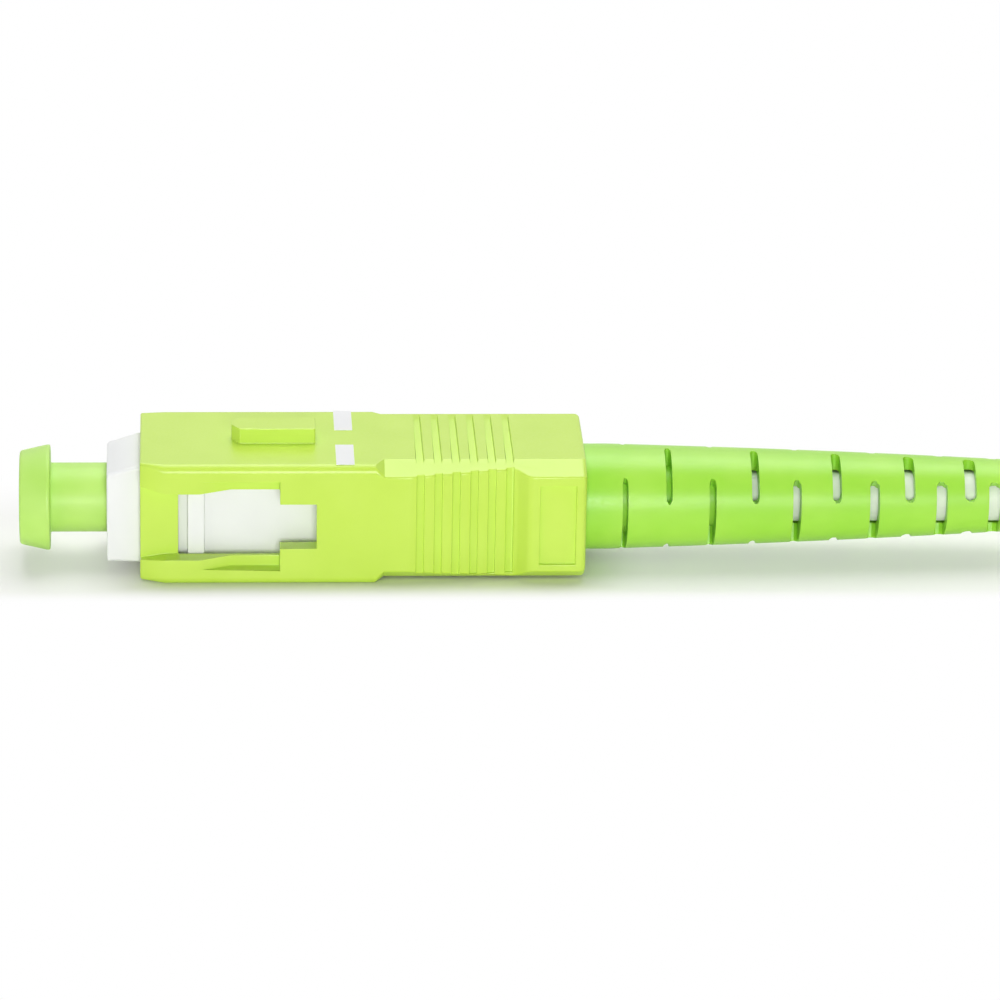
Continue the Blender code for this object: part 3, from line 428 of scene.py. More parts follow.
def mesh_of(name, bm):
    bmesh.ops.remove_doubles(bm, verts=bm.verts, dist=WELD)
    bmesh.ops.recalc_face_normals(bm, faces=bm.faces)
    mesh = bpy.data.meshes.new(name)
    bm.to_mesh(mesh)
    bm.free()
    return mesh


def fillet(before, here, after, radius):
    """The points of a corner rounded to this radius, or to what its two sides have room for."""
    back = before - here
    ahead = after - here
    half = back.angle(ahead) / 2
    room = min(back.length, ahead.length) * CORNER_SHARE
    cut = min(radius / tan(half), room)
    radius = cut * tan(half)
    centre = here + (back.normalized() + ahead.normalized()).normalized() * (radius / sin(half))
    start = here + back.normalized() * cut - centre
    end = here + ahead.normalized() * cut - centre
    sweep = atan2(start.cross(end), start.dot(end))
    turns = [Matrix.Rotation(sweep * k / CORNER_STEPS, 2) for k in range(CORNER_STEPS + 1)]
    return [centre + turn @ start for turn in turns]


def mirrored(half):
    """A closed outline from its half on the far side. The near half runs back."""
    return half + [(x, -y, *radius) for x, y, *radius in reversed(half)]


def rounded_profile(corners):
    """An open line with its inner corners rounded. A corner is (along, across, radius)."""
    spots = [Vector(corner[:2]) for corner in corners]
    points = [spots[0]]
    for k in range(1, len(corners) - 1):
        radius = corners[k][2]
        points += fillet(*spots[k - 1 : k + 2], radius) if radius else [spots[k]]
    return points + [spots[-1]]


def rounded_outline(corners):
    """A closed line with every corner rounded. A corner is (across, up, radius)."""
    spots = [Vector(corner[:2]) for corner in corners]
    count = len(spots)
    points = []
    for k in range(count):
        points += fillet(spots[k - 1], spots[k], spots[(k + 1) % count], corners[k][2])
    return points


def turned(name, corners, segments=TURN_SEGMENTS):
    """A solid turned about the connector's axis, from a profile that starts and ends on it or that closes."""
    profile = rounded_profile(corners)
    bm = bmesh.new()
    verts = [bm.verts.new((point.x, point.y, 0)) for point in profile]
    edges = [bm.edges.new(pair) for pair in zip(verts, verts[1:])]
    if profile[0].y > WELD:
        edges.append(bm.edges.new((verts[-1], verts[0])))
    bmesh.ops.spin(
        bm,
        geom=verts + edges,
        axis=(1, 0, 0),
        cent=(0, 0, 0),
        steps=segments,
        angle=2 * pi,
        use_merge=True,
    )
    return mesh_of(name, bm)


def skin(bm, rings):
    """Closes a skin over rings of as many points each."""
    rings = [[bm.verts.new(spot) for spot in ring] for ring in rings]
    for one, two in zip(rings, rings[1:]):
        for k in range(len(one)):
            bm.faces.new((one[k - 1], one[k], two[k], two[k - 1]))
    bm.faces.new(rings[0])
    bm.faces.new(rings[-1])


def lofted(name, sections):
    """A closed skin over sections of as many points each. A section is (along, outline)."""
    bm = bmesh.new()
    skin(bm, [[(x, *point) for point in outline] for x, outline in sections])
    return mesh_of(name, bm)


def prism(name, outline, low, high, axis):
    """An outline drawn out along an axis: its points lie on the other two, in their order."""
    place = "XYZ".index(axis)
    bm = bmesh.new()
    skin(bm, [[(*point[:place], reach, *point[place:]) for point in outline] for reach in (low, high)])
    return mesh_of(name, bm)


def boxes(name, spans):
    """Boxes that don't touch, as one mesh. A span is (low, high)."""
    bm = bmesh.new()
    for low, high in spans:
        for vert in bmesh.ops.create_cube(bm, size=1)["verts"]:
            for axis in range(3):
                vert.co[axis] = low[axis] if vert.co[axis] < 0 else high[axis]
    return mesh_of(name, bm)


def baked(piece, helpers=()):
    """The mesh that a piece's modifiers make. The piece and its helpers go."""
    graph = bpy.context.evaluated_depsgraph_get()
    mesh = bpy.data.meshes.new_from_object(piece.evaluated_get(graph))
    for thing in (piece, *helpers):
        bpy.data.objects.remove(thing)
    return mesh


def carved(name, mesh, added=(), taken=()):
    """A mesh with others joined to it and then others cut out of it."""
    piece = new_object(name, mesh)
    helpers = []
    for operation, meshes in (("UNION", added), ("DIFFERENCE", taken)):
        for tool_mesh in meshes:
            tool = new_object("tool", tool_mesh)
            step = piece.modifiers.new("step", "BOOLEAN")
            step.operation = operation
            step.solver = "EXACT"
            step.object = tool
            helpers.append(tool)
    return baked(piece, helpers)


def softened(mesh, width, least_angle):
    """Rounds the edges that are sharper than this, and leaves the flats between them flat."""
    bm = bmesh.new()
    bm.from_mesh(mesh)
    bmesh.ops.remove_doubles(bm, verts=bm.verts, dist=SPECK)
    bmesh.ops.dissolve_degenerate(bm, edges=bm.edges, dist=SPECK)
    bmesh.ops.dissolve_limit(bm, angle_limit=FLAT_ANGLE, verts=bm.verts, edges=bm.edges)
    sharp = [edge for edge in bm.edges if edge.is_manifold and edge.calc_face_angle(0) > least_angle]
    bmesh.ops.bevel(
        bm,
        geom=sharp,
        offset=width,
        offset_type="OFFSET",
        segments=2,
        profile=0.5,
        affect="EDGES",
        clamp_overlap=False,
    )
    return mesh_of(mesh.name, bm)


def shaded(mesh, flats):
    """Smooth over roundings. Where there are flats between them, their area decides the normals."""
    mesh.shade_smooth()
    mesh.set_sharp_from_angle(angle=CREASE)
    if not flats:
        return mesh
    piece = new_object("piece", mesh)
    weigh = piece.modifiers.new("weigh", "WEIGHTED_NORMAL")
    weigh.keep_sharp = True
    return baked(piece)


def finished(name, mesh, finish, side, body, node):
    """A piece of one connector: its mesh is put in place, and it takes its node's place."""
    mesh = mesh.copy()
    mesh.name = f"{name}_{side}"
    mesh.transform(seat(side))
    mesh.materials.clear()
    piece = new_object(f"{name}_{side}", mesh, finish)
    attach(piece, body)
    if node:
        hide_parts(node)
    return piece


# ---------------------------------------------------------------- what repeats


def made_by_nodes(name, piece, sizes, build, helpers=()):
    """The mesh that geometry nodes make of a piece. Each size is a named input of their tree."""
    tree = bpy.data.node_groups.new(name, "GeometryNodeTree")
    face = tree.interface
    face.new_socket("Geometry", in_out="INPUT", socket_type="NodeSocketGeometry")
    identifiers = {}
    for label, value in sizes.items():
        kind = type(value).__name__.capitalize()
        socket = face.new_socket(label, in_out="INPUT", socket_type=f"NodeSocket{kind}")
        identifiers[label] = socket.identifier
    face.new_socket("Geometry", in_out="OUTPUT", socket_type="NodeSocketGeometry")
    given = add(tree, "NodeGroupInput").outputs
    whole = add(tree, "GeometryNodeRealizeInstances", links={0: build(tree, given)}).outputs[0]
    painted = add(tree, "GeometryNodeSetMaterial", links={"Geometry": whole, "Material": given["Finish"]})
    output = add(tree, "NodeGroupOutput")
    tree.links.new(painted.outputs[0], output.inputs[0])
    modifier = piece.modifiers.new(name, "NODES")
    modifier.node_group = tree
    for label, identifier in identifiers.items():
        modifier[identifier] = sizes[label]
    return baked(piece, helpers)


def row_of_cuts(tree, given):
    """Cuts a tool out of a piece again and again along the connector.

    Tool n lies at First + Pitch n - Closing (1 + 4 + ... + (n - 1)^2), is Width + Widening n wide and
    is turned by Turn, and every second one by Step more. What the core fills stays uncut.
    """
    number = add(tree, "GeometryNodeInputIndex").outputs[0]

    def worked(operation, one, two):
        node = add(tree, "ShaderNodeMath", {"operation": operation})
        for socket, value in zip(node.inputs, (one, two)):
            if isinstance(value, (int, float)):
                socket.default_value = value
            else:
                tree.links.new(value, socket)
        return node.outputs[0]

    one_less = worked("SUBTRACT", number, 1)
    twice_less = worked("SUBTRACT", worked("MULTIPLY", number, 2), 1)
    squares = worked("DIVIDE", worked("MULTIPLY", worked("MULTIPLY", number, one_less), twice_less), 6)
    evenly = worked("ADD", given["First"], worked("MULTIPLY", given["Pitch"], number))
    along = worked("SUBTRACT", evenly, worked("MULTIPLY", given["Closing"], squares))
    width = worked("ADD", given["Width"], worked("MULTIPLY", given["Widening"], number))
    turn = worked("ADD", given["Turn"], worked("MULTIPLY", given["Step"], worked("MODULO", number, 2)))
    spot = add(tree, "ShaderNodeCombineXYZ", links={"X": along}).outputs[0]
    aim = add(tree, "ShaderNodeCombineXYZ", links={"X": turn}).outputs[0]
    scale = add(tree, "ShaderNodeCombineXYZ", {"Y": 1.0, "Z": 1.0}, {"X": width}).outputs[0]
    points = add(tree, "GeometryNodePoints", links={"Count": given["Count"], "Position": spot}).outputs[0]
    tool = add(tree, "GeometryNodeObjectInfo", links={"Object": given["Tool"]}).outputs["Geometry"]
    core = add(tree, "GeometryNodeObjectInfo", links={"Object": given["Core"]}).outputs["Geometry"]
    placing = {"Points": points, "Instance": tool, "Rotation": aim, "Scale": scale}
    placed = add(tree, "GeometryNodeInstanceOnPoints", links=placing)
    tools = add(tree, "GeometryNodeRealizeInstances", links={0: placed.outputs[0]}).outputs[0]
    solver = {"operation": "DIFFERENCE", "solver": "EXACT"}
    spared = add(tree, "GeometryNodeMeshBoolean", solver, {"Mesh 1": tools, "Mesh 2": core}).outputs[0]
    sides = {"Mesh 1": given["Geometry"], "Mesh 2": spared}
    return add(tree, "GeometryNodeMeshBoolean", solver, sides).outputs[0]


def cut_along(name, mesh, tool_mesh, core_mesh, sizes):
    """A mesh with a row of cuts along it."""
    tool = new_object("tool", tool_mesh)
    core = new_object("core", core_mesh)
    sizes = {**sizes, "Tool": tool, "Core": core}
    return made_by_nodes(name, new_object(name, mesh), sizes, row_of_cuts, (tool, core))


# ---------------------------------------------------------------- grip housing

HALF_WIDTH = (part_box("grip_housing")[1].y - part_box("grip_housing")[0].y) / 2
HALF_HEIGHT = -corners_of("grip_housing")[0].z
HOUSING_END = corners_of("grip_housing")[1].x
HOUSING_EDGE = 0.29 * MM
EDGE_ROUND = 0.5 * MM
TAIL_ROUND = 0.15 * MM
NOSE_FACET_LENGTH = 1.4 * MM
NOSE_FACET_DEPTH = 0.65 * MM  # on the near side
NOSE_FAR_FACET_DEPTH = 0.2 * MM
NOSE_TOP_FALL = 0.08 * MM
NOSE_EDGE = 0.1 * MM
NOSE_ROUND = 0.07 * MM
STEP_FROM = 13.6 * MM
STEP_TO = 14.1 * MM
TAIL_HALF_WIDTH = HALF_WIDTH - 0.1 * MM
TAIL_HALF_HEIGHT = HALF_HEIGHT - 0.2 * MM
TAIL_END_ROUND = 0.3 * MM
TOP_CUT = (1.55 * MM, 0.55 * MM)  # across and up: the near top corner of the tail
LOW_CUT = (0.74 * MM, 0.57 * MM)
FAR_TOP_EDGE = 0.1 * MM
WAIST_FROM = 15.6 * MM
WAIST_TO = 21.7 * MM
WAIST_BACK = 22.5 * MM
WAIST_DEPTH = 0.7 * MM
WAIST_ROUND = 1.2 * MM
WAIST = [  # along, drawn in, radius
    (STEP_TO, 0, 0),
    (WAIST_FROM, 0, WAIST_ROUND),
    (WAIST_TO, WAIST_DEPTH, WAIST_ROUND / 2),
]
GROOVES = {"Count": 6, "First": 16.17 * MM, "Pitch": 1.04 * MM, "Width": 0.44 * MM}
EVEN = {"Closing": 0.0, "Widening": 0.0, "Turn": 0.0, "Step": 0.0}
GROOVE_DEPTH = 0.16 * MM
GROOVE_END = 0.25 * MM
GROOVE_RUN_OUT = 0.7 * MM
HOUSING_WALL = 1.08 * MM
FRAME_HALF_WIDTH = 2.75 * MM
FRAME_HALF_HEIGHT = 3.0 * MM
OPENING_HALF_WIDTH = FRAME_HALF_WIDTH + 0.15 * MM
OPENING_HALF_HEIGHT = FRAME_HALF_HEIGHT + 0.1 * MM
CHAMBER_HALF_WIDTH = HALF_WIDTH - HOUSING_WALL
CHAMBER_WIDE_END = 10.44 * MM
CHAMBER_END = 19.5 * MM
HOUSING_BORE = 3.18 * MM
BRIDGE_LENGTH = 2.2 * MM
BRIDGE_RECESS = 1.05 * MM
CHANNEL_TOP = 1.95 * MM
CHANNEL_BOTTOM = -2.14 * MM
CHANNEL_FLARE = 0.23 * MM
CHANNEL_FLARE_LENGTH = 1.5 * MM
WINDOW_WIDE_END = 8.07 * MM
WINDOW_NARROW_TOP = 1.31 * MM
WINDOW_NARROW_BOTTOM = -1.43 * MM
WINDOW_NARROW_END = 10.19 * MM
RAMP_TOP = 2.7 * MM
RAMP_BOTTOM = -2.78 * MM
RAMP_FROM = 3.45 * MM
RAMP_TO = 5.25 * MM
RAMP_DEPTH = 0.78 * MM
KEY_HALF_WIDTH = 0.925 * MM
KEY_TOP = corners_of("grip_housing")[1].z
KEY_ROOT = HALF_HEIGHT - 0.3 * MM
KEY_FROM = 5.3 * MM
KEY_TO = 10.16 * MM
KEY_BOW_LENGTH = 0.47 * MM
KEY_BOW_HALF_WIDTH = 0.25 * MM
KEY_ROUND = 0.12 * MM
LABEL_FROM = 23.1 * MM
LABEL_TO = 25.2 * MM
LABEL_TOP = 2.37 * MM
LABEL_BOTTOM = -2.53 * MM
LABEL_DEPTH = 0.25 * MM
PAST = 1.0 * MM  # how far a tool reaches beyond the face that it opens
HOUSING_SOFTENING = 0.05 * MM
CUT_EDGE_ANGLE = radians(50)


def section(near, far, low, top, cuts, radius):
    """A housing section: its four sides, the (across, up) cuts of its corners and their rounding.

    The cuts go round from the far top corner: far top, far bottom, near bottom, near top.
    """
    far_top, far_low, near_low, near_top = cuts
    corners = [
        (far - far_top[0], top, radius),
        (far, top - far_top[1], radius),
        (far, low + far_low[1], radius),
        (far - far_low[0], low, radius),
        (near + near_low[0], low, radius),
        (near, low + near_low[1], radius),
        (near, top - near_top[1], radius),
        (near + near_top[0], top, radius),
    ]
    return rounded_outline(corners)


def front_section(near_inset, far_inset, top_fall, edge):
    height = HALF_HEIGHT - top_fall
    near = near_inset - HALF_WIDTH
    return section(near, HALF_WIDTH - far_inset, -height, height, [(edge, edge)] * 4, EDGE_ROUND)


def tail_section(drawn_in, end_round=0.0):
    """The tail's section. Only the near side is drawn in, and the near corners' cuts take that up."""
    near = -(TAIL_HALF_WIDTH - drawn_in - end_round)
    far = TAIL_HALF_WIDTH - end_round
    top = TAIL_HALF_HEIGHT - end_round / 2
    kept_top = (TOP_CUT[0] - drawn_in) / TOP_CUT[0]
    kept_low = (LOW_CUT[0] - drawn_in) / LOW_CUT[0]
    cuts = [
        (FAR_TOP_EDGE, FAR_TOP_EDGE),
        LOW_CUT,
        (LOW_CUT[0] * kept_low, LOW_CUT[1] * kept_low),
        (TOP_CUT[0] * kept_top, TOP_CUT[1] * kept_top),
    ]
    return section(near, far, -top, top, cuts, TAIL_ROUND)


def housing_shell():
    """The outside: nose with its facets, shoulder, and the waisted tail with its rounded end."""
    insets = (NOSE_FACET_DEPTH, NOSE_FAR_FACET_DEPTH, NOSE_TOP_FALL)
    sections = [
        (0, front_section(*[inset + NOSE_ROUND for inset in insets], NOSE_EDGE)),
        (NOSE_ROUND, front_section(*insets, NOSE_EDGE)),
        (NOSE_FACET_LENGTH, front_section(0, 0, 0, HOUSING_EDGE)),
        (STEP_FROM, front_section(0, 0, 0, HOUSING_EDGE)),
    ]
    tail = WAIST + [(WAIST_BACK, 0, WAIST_ROUND / 2), (HOUSING_END - TAIL_END_ROUND, 0, 0)]
    sections += [(spot.x, tail_section(spot.y)) for spot in rounded_profile(tail)]
    for k in range(1, CORNER_STEPS + 1):
        turn = pi / 2 * k / CORNER_STEPS
        inset = TAIL_END_ROUND * (1 - cos(turn))
        sections.append((HOUSING_END - TAIL_END_ROUND * (1 - sin(turn)), tail_section(0, inset)))
    return lofted("shell", sections)


def housing_key():
    half_key = [
        (KEY_FROM, KEY_BOW_HALF_WIDTH, KEY_ROUND),
        (KEY_FROM + KEY_BOW_LENGTH, KEY_HALF_WIDTH, KEY_ROUND),
        (KEY_TO, KEY_HALF_WIDTH, KEY_ROUND),
    ]
    key = prism("key", rounded_outline(mirrored(half_key)), KEY_ROOT, KEY_TOP, "Z")
    return softened(key, KEY_ROUND / 2, CUT_EDGE_ANGLE)


def housing_hollows():
    """What the housing is hollowed by: the chamber of the plug frame, the boot's bore, and its windows."""
    half_chamber = [
        (-PAST, OPENING_HALF_WIDTH),
        (BRIDGE_LENGTH, OPENING_HALF_WIDTH),
        (BRIDGE_LENGTH, CHAMBER_HALF_WIDTH),
        (CHAMBER_WIDE_END, CHAMBER_HALF_WIDTH),
        (CHAMBER_WIDE_END, OPENING_HALF_WIDTH),
        (CHAMBER_END, OPENING_HALF_WIDTH),
    ]
    bore = [
        (CHAMBER_END - PAST, 0, 0),
        (CHAMBER_END - PAST, HOUSING_BORE, 0),
        (HOUSING_END + PAST, HOUSING_BORE, 0),
        (HOUSING_END + PAST, 0, 0),
    ]
    outside = HALF_WIDTH + PAST
    wide = ((BRIDGE_LENGTH, -outside, CHANNEL_BOTTOM), (WINDOW_WIDE_END, outside, CHANNEL_TOP))
    narrow_low = (WINDOW_WIDE_END - PAST, -outside, WINDOW_NARROW_BOTTOM)
    narrow_high = (WINDOW_NARROW_END, outside, WINDOW_NARROW_TOP)
    flared = CHANNEL_FLARE * (1 + PAST / CHANNEL_FLARE_LENGTH)
    channel = [
        (-PAST, CHANNEL_TOP + flared),
        (CHANNEL_FLARE_LENGTH, CHANNEL_TOP),
        (BRIDGE_LENGTH + NOSE_ROUND, CHANNEL_TOP),
        (BRIDGE_LENGTH + NOSE_ROUND, CHANNEL_BOTTOM),
        (CHANNEL_FLARE_LENGTH, CHANNEL_BOTTOM),
        (-PAST, CHANNEL_BOTTOM - flared),
    ]
    label_low = (LABEL_FROM, -outside, LABEL_BOTTOM)
    label_high = (LABEL_TO, -TAIL_HALF_WIDTH + LABEL_DEPTH, LABEL_TOP)
    hollows = [
        prism("chamber", mirrored(half_chamber), -OPENING_HALF_HEIGHT, OPENING_HALF_HEIGHT, "Z"),
        turned("bore", bore),
        boxes("wide_window", [wide]),
        boxes("narrow_window", [(narrow_low, narrow_high)]),
        boxes("label", [(label_low, label_high)]),
    ]
    for sign in (-1, 1):
        ramp = [
            (RAMP_FROM, sign * outside),
            (RAMP_FROM, sign * HALF_WIDTH),
            (RAMP_TO, sign * (HALF_WIDTH - RAMP_DEPTH)),
            (WINDOW_WIDE_END, sign * (HALF_WIDTH - RAMP_DEPTH)),
            (WINDOW_WIDE_END, sign * outside),
        ]
        recess = sorted((sign * (HALF_WIDTH - BRIDGE_RECESS), sign * outside))
        hollows += [prism("ramp", ramp, RAMP_BOTTOM, RAMP_TOP, "Z"), prism("channel", channel, *recess, "Y")]
    return hollows


def groove_tool():
    """One finger groove round the tail, 1 m wide: short of the corners, and running out at the far top."""
    outside_y = HALF_WIDTH + PAST
    outside_z = HALF_HEIGHT + PAST
    side = TAIL_HALF_HEIGHT - GROOVE_END
    flat_near = TAIL_HALF_WIDTH - WAIST_DEPTH - GROOVE_END
    flat_far = TAIL_HALF_WIDTH - GROOVE_END
    deep_far = flat_far + GROOVE_END / 2
    deep_up = TAIL_HALF_HEIGHT - 2 * GROOVE_DEPTH
    spans = [
        ((-0.5, -outside_y, -side), (0.5, -flat_near - SPECK, side)),
        ((-0.5, deep_far, -side), (0.5, outside_y, side)),
        ((-0.5, -flat_near, -outside_z), (0.5, flat_near, -deep_up)),
    ]
    bm = bmesh.new()
    bm.from_mesh(boxes("sides", spans))
    top = [
        (-flat_near, outside_z),
        (-flat_near, deep_up),
        (flat_far - GROOVE_RUN_OUT, deep_up),
        (flat_far, TAIL_HALF_HEIGHT),
        (flat_far, outside_z),
    ]
    bm.from_mesh(prism("top", top, -0.5, 0.5, "X"))
    return mesh_of("groove_tool", bm)


def groove_core():
    """What the grooves don't reach: the tail's box, drawn in like its near side."""
    top = TAIL_HALF_HEIGHT - GROOVE_DEPTH
    far = TAIL_HALF_WIDTH - GROOVE_DEPTH
    sections = []
    for spot in rounded_profile(WAIST + [(WAIST_BACK, 0, 0)]):
        near = -(TAIL_HALF_WIDTH - spot.y - GROOVE_DEPTH)
        sections.append((spot.x, [(far, top), (far, -top), (near, -top), (near, top)]))
    return lofted("groove_core", sections)


def grip_mesh(finish):
    body = carved("grip", housing_shell(), [housing_key()], housing_hollows())
    sizes = {**GROOVES, **EVEN, "Finish": finish}
    grooved = cut_along("finger_grooves", body, groove_tool(), groove_core(), sizes)
    return softened(grooved, HOUSING_SOFTENING, CUT_EDGE_ANGLE)


MARK_FROM = 11.3 * MM
MARK_TO = 12.35 * MM
MARK_INNER = 1.15 * MM
MARK_OUTER = 4.2 * MM
MARK_RISE = 0.02 * MM


def marks_mesh():
    """Two white bars printed on the housing's top: they are hidden once the plug is fully home."""
    low = HALF_HEIGHT - MARK_RISE
    high = HALF_HEIGHT + MARK_RISE
    spans = [
        ((MARK_FROM, MARK_INNER, low), (MARK_TO, MARK_OUTER, high)),
        ((MARK_FROM, -MARK_OUTER, low), (MARK_TO, -MARK_INNER, high)),
    ]
    return boxes("marks", spans)


# ---------------------------------------------------------------- plug frame

FRAME_FRONT, FRAME_END = span_of("plug_frame")
FRAME_LEAD_IN = 1.8 * MM
FRAME_TOP_FALL = 0.52 * MM
FRAME_SIDE_FALL = 0.15 * MM
FRAME_EDGE = 0.14 * MM
FRAME_ROUND = 0.06 * MM
FRAME_BORE = 2.35 * MM
FRAME_WALL_FROM = 3.5 * MM
FRAME_WALL_TO = 4.3 * MM
FRAME_WALL_HOLE = 1.4 * MM
FRAME_CHAMBER = 2.45 * MM
LATCH_FROM = 2.75 * MM
LATCH_TO = 3.71 * MM
LATCH_REACH = FRAME_HALF_WIDTH + 0.55 * MM
LATCH_HALF_HEIGHT = 2.6 * MM
SNAP_FROM = 15.0 * MM
SNAP_TO = 16.4 * MM
SNAP_HALF_WIDTH = 0.9 * MM


def frame_mesh():
    """The white inner body: a nose with a lead-in, two latch ridges, and snap windows for the backbone."""

    def outline(side_fall, top_fall):
        width = FRAME_HALF_WIDTH - side_fall
        cuts = [(FRAME_EDGE, FRAME_EDGE)] * 4
        return section(-width, width, -FRAME_HALF_HEIGHT, FRAME_HALF_HEIGHT - top_fall, cuts, FRAME_EDGE)

    shell = lofted(
        "frame",
        [
            (FRAME_FRONT, outline(FRAME_SIDE_FALL + FRAME_ROUND, FRAME_TOP_FALL + FRAME_ROUND)),
            (FRAME_FRONT + FRAME_ROUND, outline(FRAME_SIDE_FALL, FRAME_TOP_FALL)),
            (FRAME_FRONT + FRAME_LEAD_IN, outline(0, 0)),
            (FRAME_END, outline(0, 0)),
        ],
    )
    ridge_span = ((LATCH_FROM, -LATCH_REACH, -LATCH_HALF_HEIGHT), (LATCH_TO, LATCH_REACH, LATCH_HALF_HEIGHT))
    ridge = softened(boxes("ridge", [ridge_span]), FRAME_ROUND, CUT_EDGE_ANGLE)
    bore = [
        (FRAME_FRONT - PAST, 0, 0),
        (FRAME_FRONT - PAST, FRAME_BORE, 0),
        (FRAME_WALL_FROM, FRAME_BORE, FRAME_ROUND),
        (FRAME_WALL_FROM, FRAME_WALL_HOLE, 0),
        (FRAME_WALL_TO, FRAME_WALL_HOLE, 0),
        (FRAME_WALL_TO, FRAME_CHAMBER, FRAME_ROUND),
        (FRAME_END + PAST, FRAME_CHAMBER, 0),
        (FRAME_END + PAST, 0, 0),
    ]
    snap = ((SNAP_FROM, -SNAP_HALF_WIDTH, -HALF_HEIGHT), (SNAP_TO, SNAP_HALF_WIDTH, HALF_HEIGHT))
    body = carved("frame", shell, [ridge], [turned("bore", bore), boxes("snap", [snap])])
    return softened(body, FRAME_ROUND / 2, CUT_EDGE_ANGLE)


# ---------------------------------------------------------------- turned pieces

CAP_TIP, CAP_NECK_END = span_of("dust_cap")
CAP_RIM_RADIUS = radius_of("dust_cap")
CAP_HEAD_END = CAP_TIP + 1.77 * MM
CAP_TIP_RADIUS = 2.715 * MM
CAP_NECK_RADIUS = 2.015 * MM
CAP_BORE_RADIUS = 1.3 * MM
CAP_BORE_END = -3.4 * MM
CAP_RIM_WIDTH = 0.2 * MM

FERRULE_TIP, FERRULE_REAR = span_of("ferrule")
FERRULE_RADIUS = radius_of("ferrule")
FERRULE_FLAT = 0.8 * MM
FERRULE_CHAMFER = 0.6 * MM
FERRULE_DOME = 0.02 * MM

FLANGE_FRONT, TUBE_END = span_of("ferrule_flange")
FLANGE_REAR = FLANGE_FRONT + 1.95 * MM
FLANGE_RADIUS = 2.3 * MM
FLANGE_NOTCH = 0.5 * MM
FLANGE_EDGE = 0.03 * MM
TUBE_RADIUS = 1.4 * MM
TUBE_BORE = 0.95 * MM
FERRULE_SEAT = FERRULE_RADIUS + 0.05 * MM
SEAT_END = FERRULE_REAR + 0.05 * MM

SPRING_FROM, SPRING_TO = span_of("spring")
SPRING_WIRE = 0.4 * MM
SPRING_RADIUS = 1.8 * MM
SPRING_CURLS = 8
SPRING_CURL_POINTS = 24
SPRING_RESOLUTION = 4
SPRING_DEAD_TURNS = 0.8  # closed turns at each end

BACKBONE_FROM, BACKBONE_TO = span_of("backbone")
COLLAR_RADIUS = radius_of("backbone")
BACKBONE_NOSE = 2.35 * MM
BACKBONE_BORE = 1.5 * MM
COLLAR_FROM = 18.5 * MM
BARREL_FROM = 19.1 * MM
BARREL_RADIUS = 1.95 * MM
BARREL_BORE = 0.9 * MM
BARREL_RINGS = 5
BARREL_RING_DEPTH = 0.12 * MM
LUG_FROM = 15.1 * MM
LUG_TO = 16.3 * MM
LUG_HALF_WIDTH = 0.8 * MM
LUG_RISE = 0.4 * MM

YARN_FROM, YARN_TO = span_of("aramid_yarn")
YARN_RADIUS = radius_of("aramid_yarn")
YARN_THICKNESS = 0.17 * MM
YARN_STRANDS = 76
STRAND_SIDES = 8

SLEEVE_FROM, SLEEVE_TO = span_of("crimp_sleeve")
SLEEVE_RADIUS = radius_of("crimp_sleeve")
SLEEVE_WALL = 0.28 * MM
SLEEVE_NECK_FROM = 24.9 * MM
SLEEVE_NECK_TO = 25.9 * MM
SLEEVE_TAIL_RADIUS = 1.83 * MM
CRIMP_BITE = 0.05 * MM
CRIMP_BITE_LENGTH = 0.5 * MM
CRIMPS = 4

BUFFER_FROM, BUFFER_TO = span_of("buffered_fibre")
BUFFER_RADIUS = radius_of("buffered_fibre")


def cap_mesh():
    """The dust cap: a blind cup on the ferrule, with a cone-shaped head to pull it by."""
    corners = [
        (CAP_BORE_END, 0, 0),
        (CAP_BORE_END, CAP_BORE_RADIUS, 0),
        (CAP_NECK_END, CAP_BORE_RADIUS, 0.1 * MM),
        (CAP_NECK_END, CAP_NECK_RADIUS, 0.15 * MM),
        (CAP_HEAD_END, CAP_NECK_RADIUS, 0.12 * MM),
        (CAP_HEAD_END, CAP_RIM_RADIUS, 0.08 * MM),
        (CAP_HEAD_END - CAP_RIM_WIDTH, CAP_RIM_RADIUS, 0.3 * MM),
        (CAP_TIP, CAP_TIP_RADIUS, 0.2 * MM),
        (CAP_TIP, 0, 0),
    ]
    return turned("cap", corners)


def ferrule_mesh():
    """The ferrule, with a chamfer and a polished dome."""
    corners = [
        (FERRULE_REAR, 0, 0),
        (FERRULE_REAR, FERRULE_RADIUS, 0.05 * MM),
        (FERRULE_TIP + FERRULE_CHAMFER, FERRULE_RADIUS, 0.15 * MM),
        (FERRULE_TIP + FERRULE_DOME, FERRULE_FLAT, 0.08 * MM),
        (FERRULE_TIP, FERRULE_FLAT / 2, 0.5 * MM),
        (FERRULE_TIP, 0, 0),
    ]
    return turned("ferrule", corners)


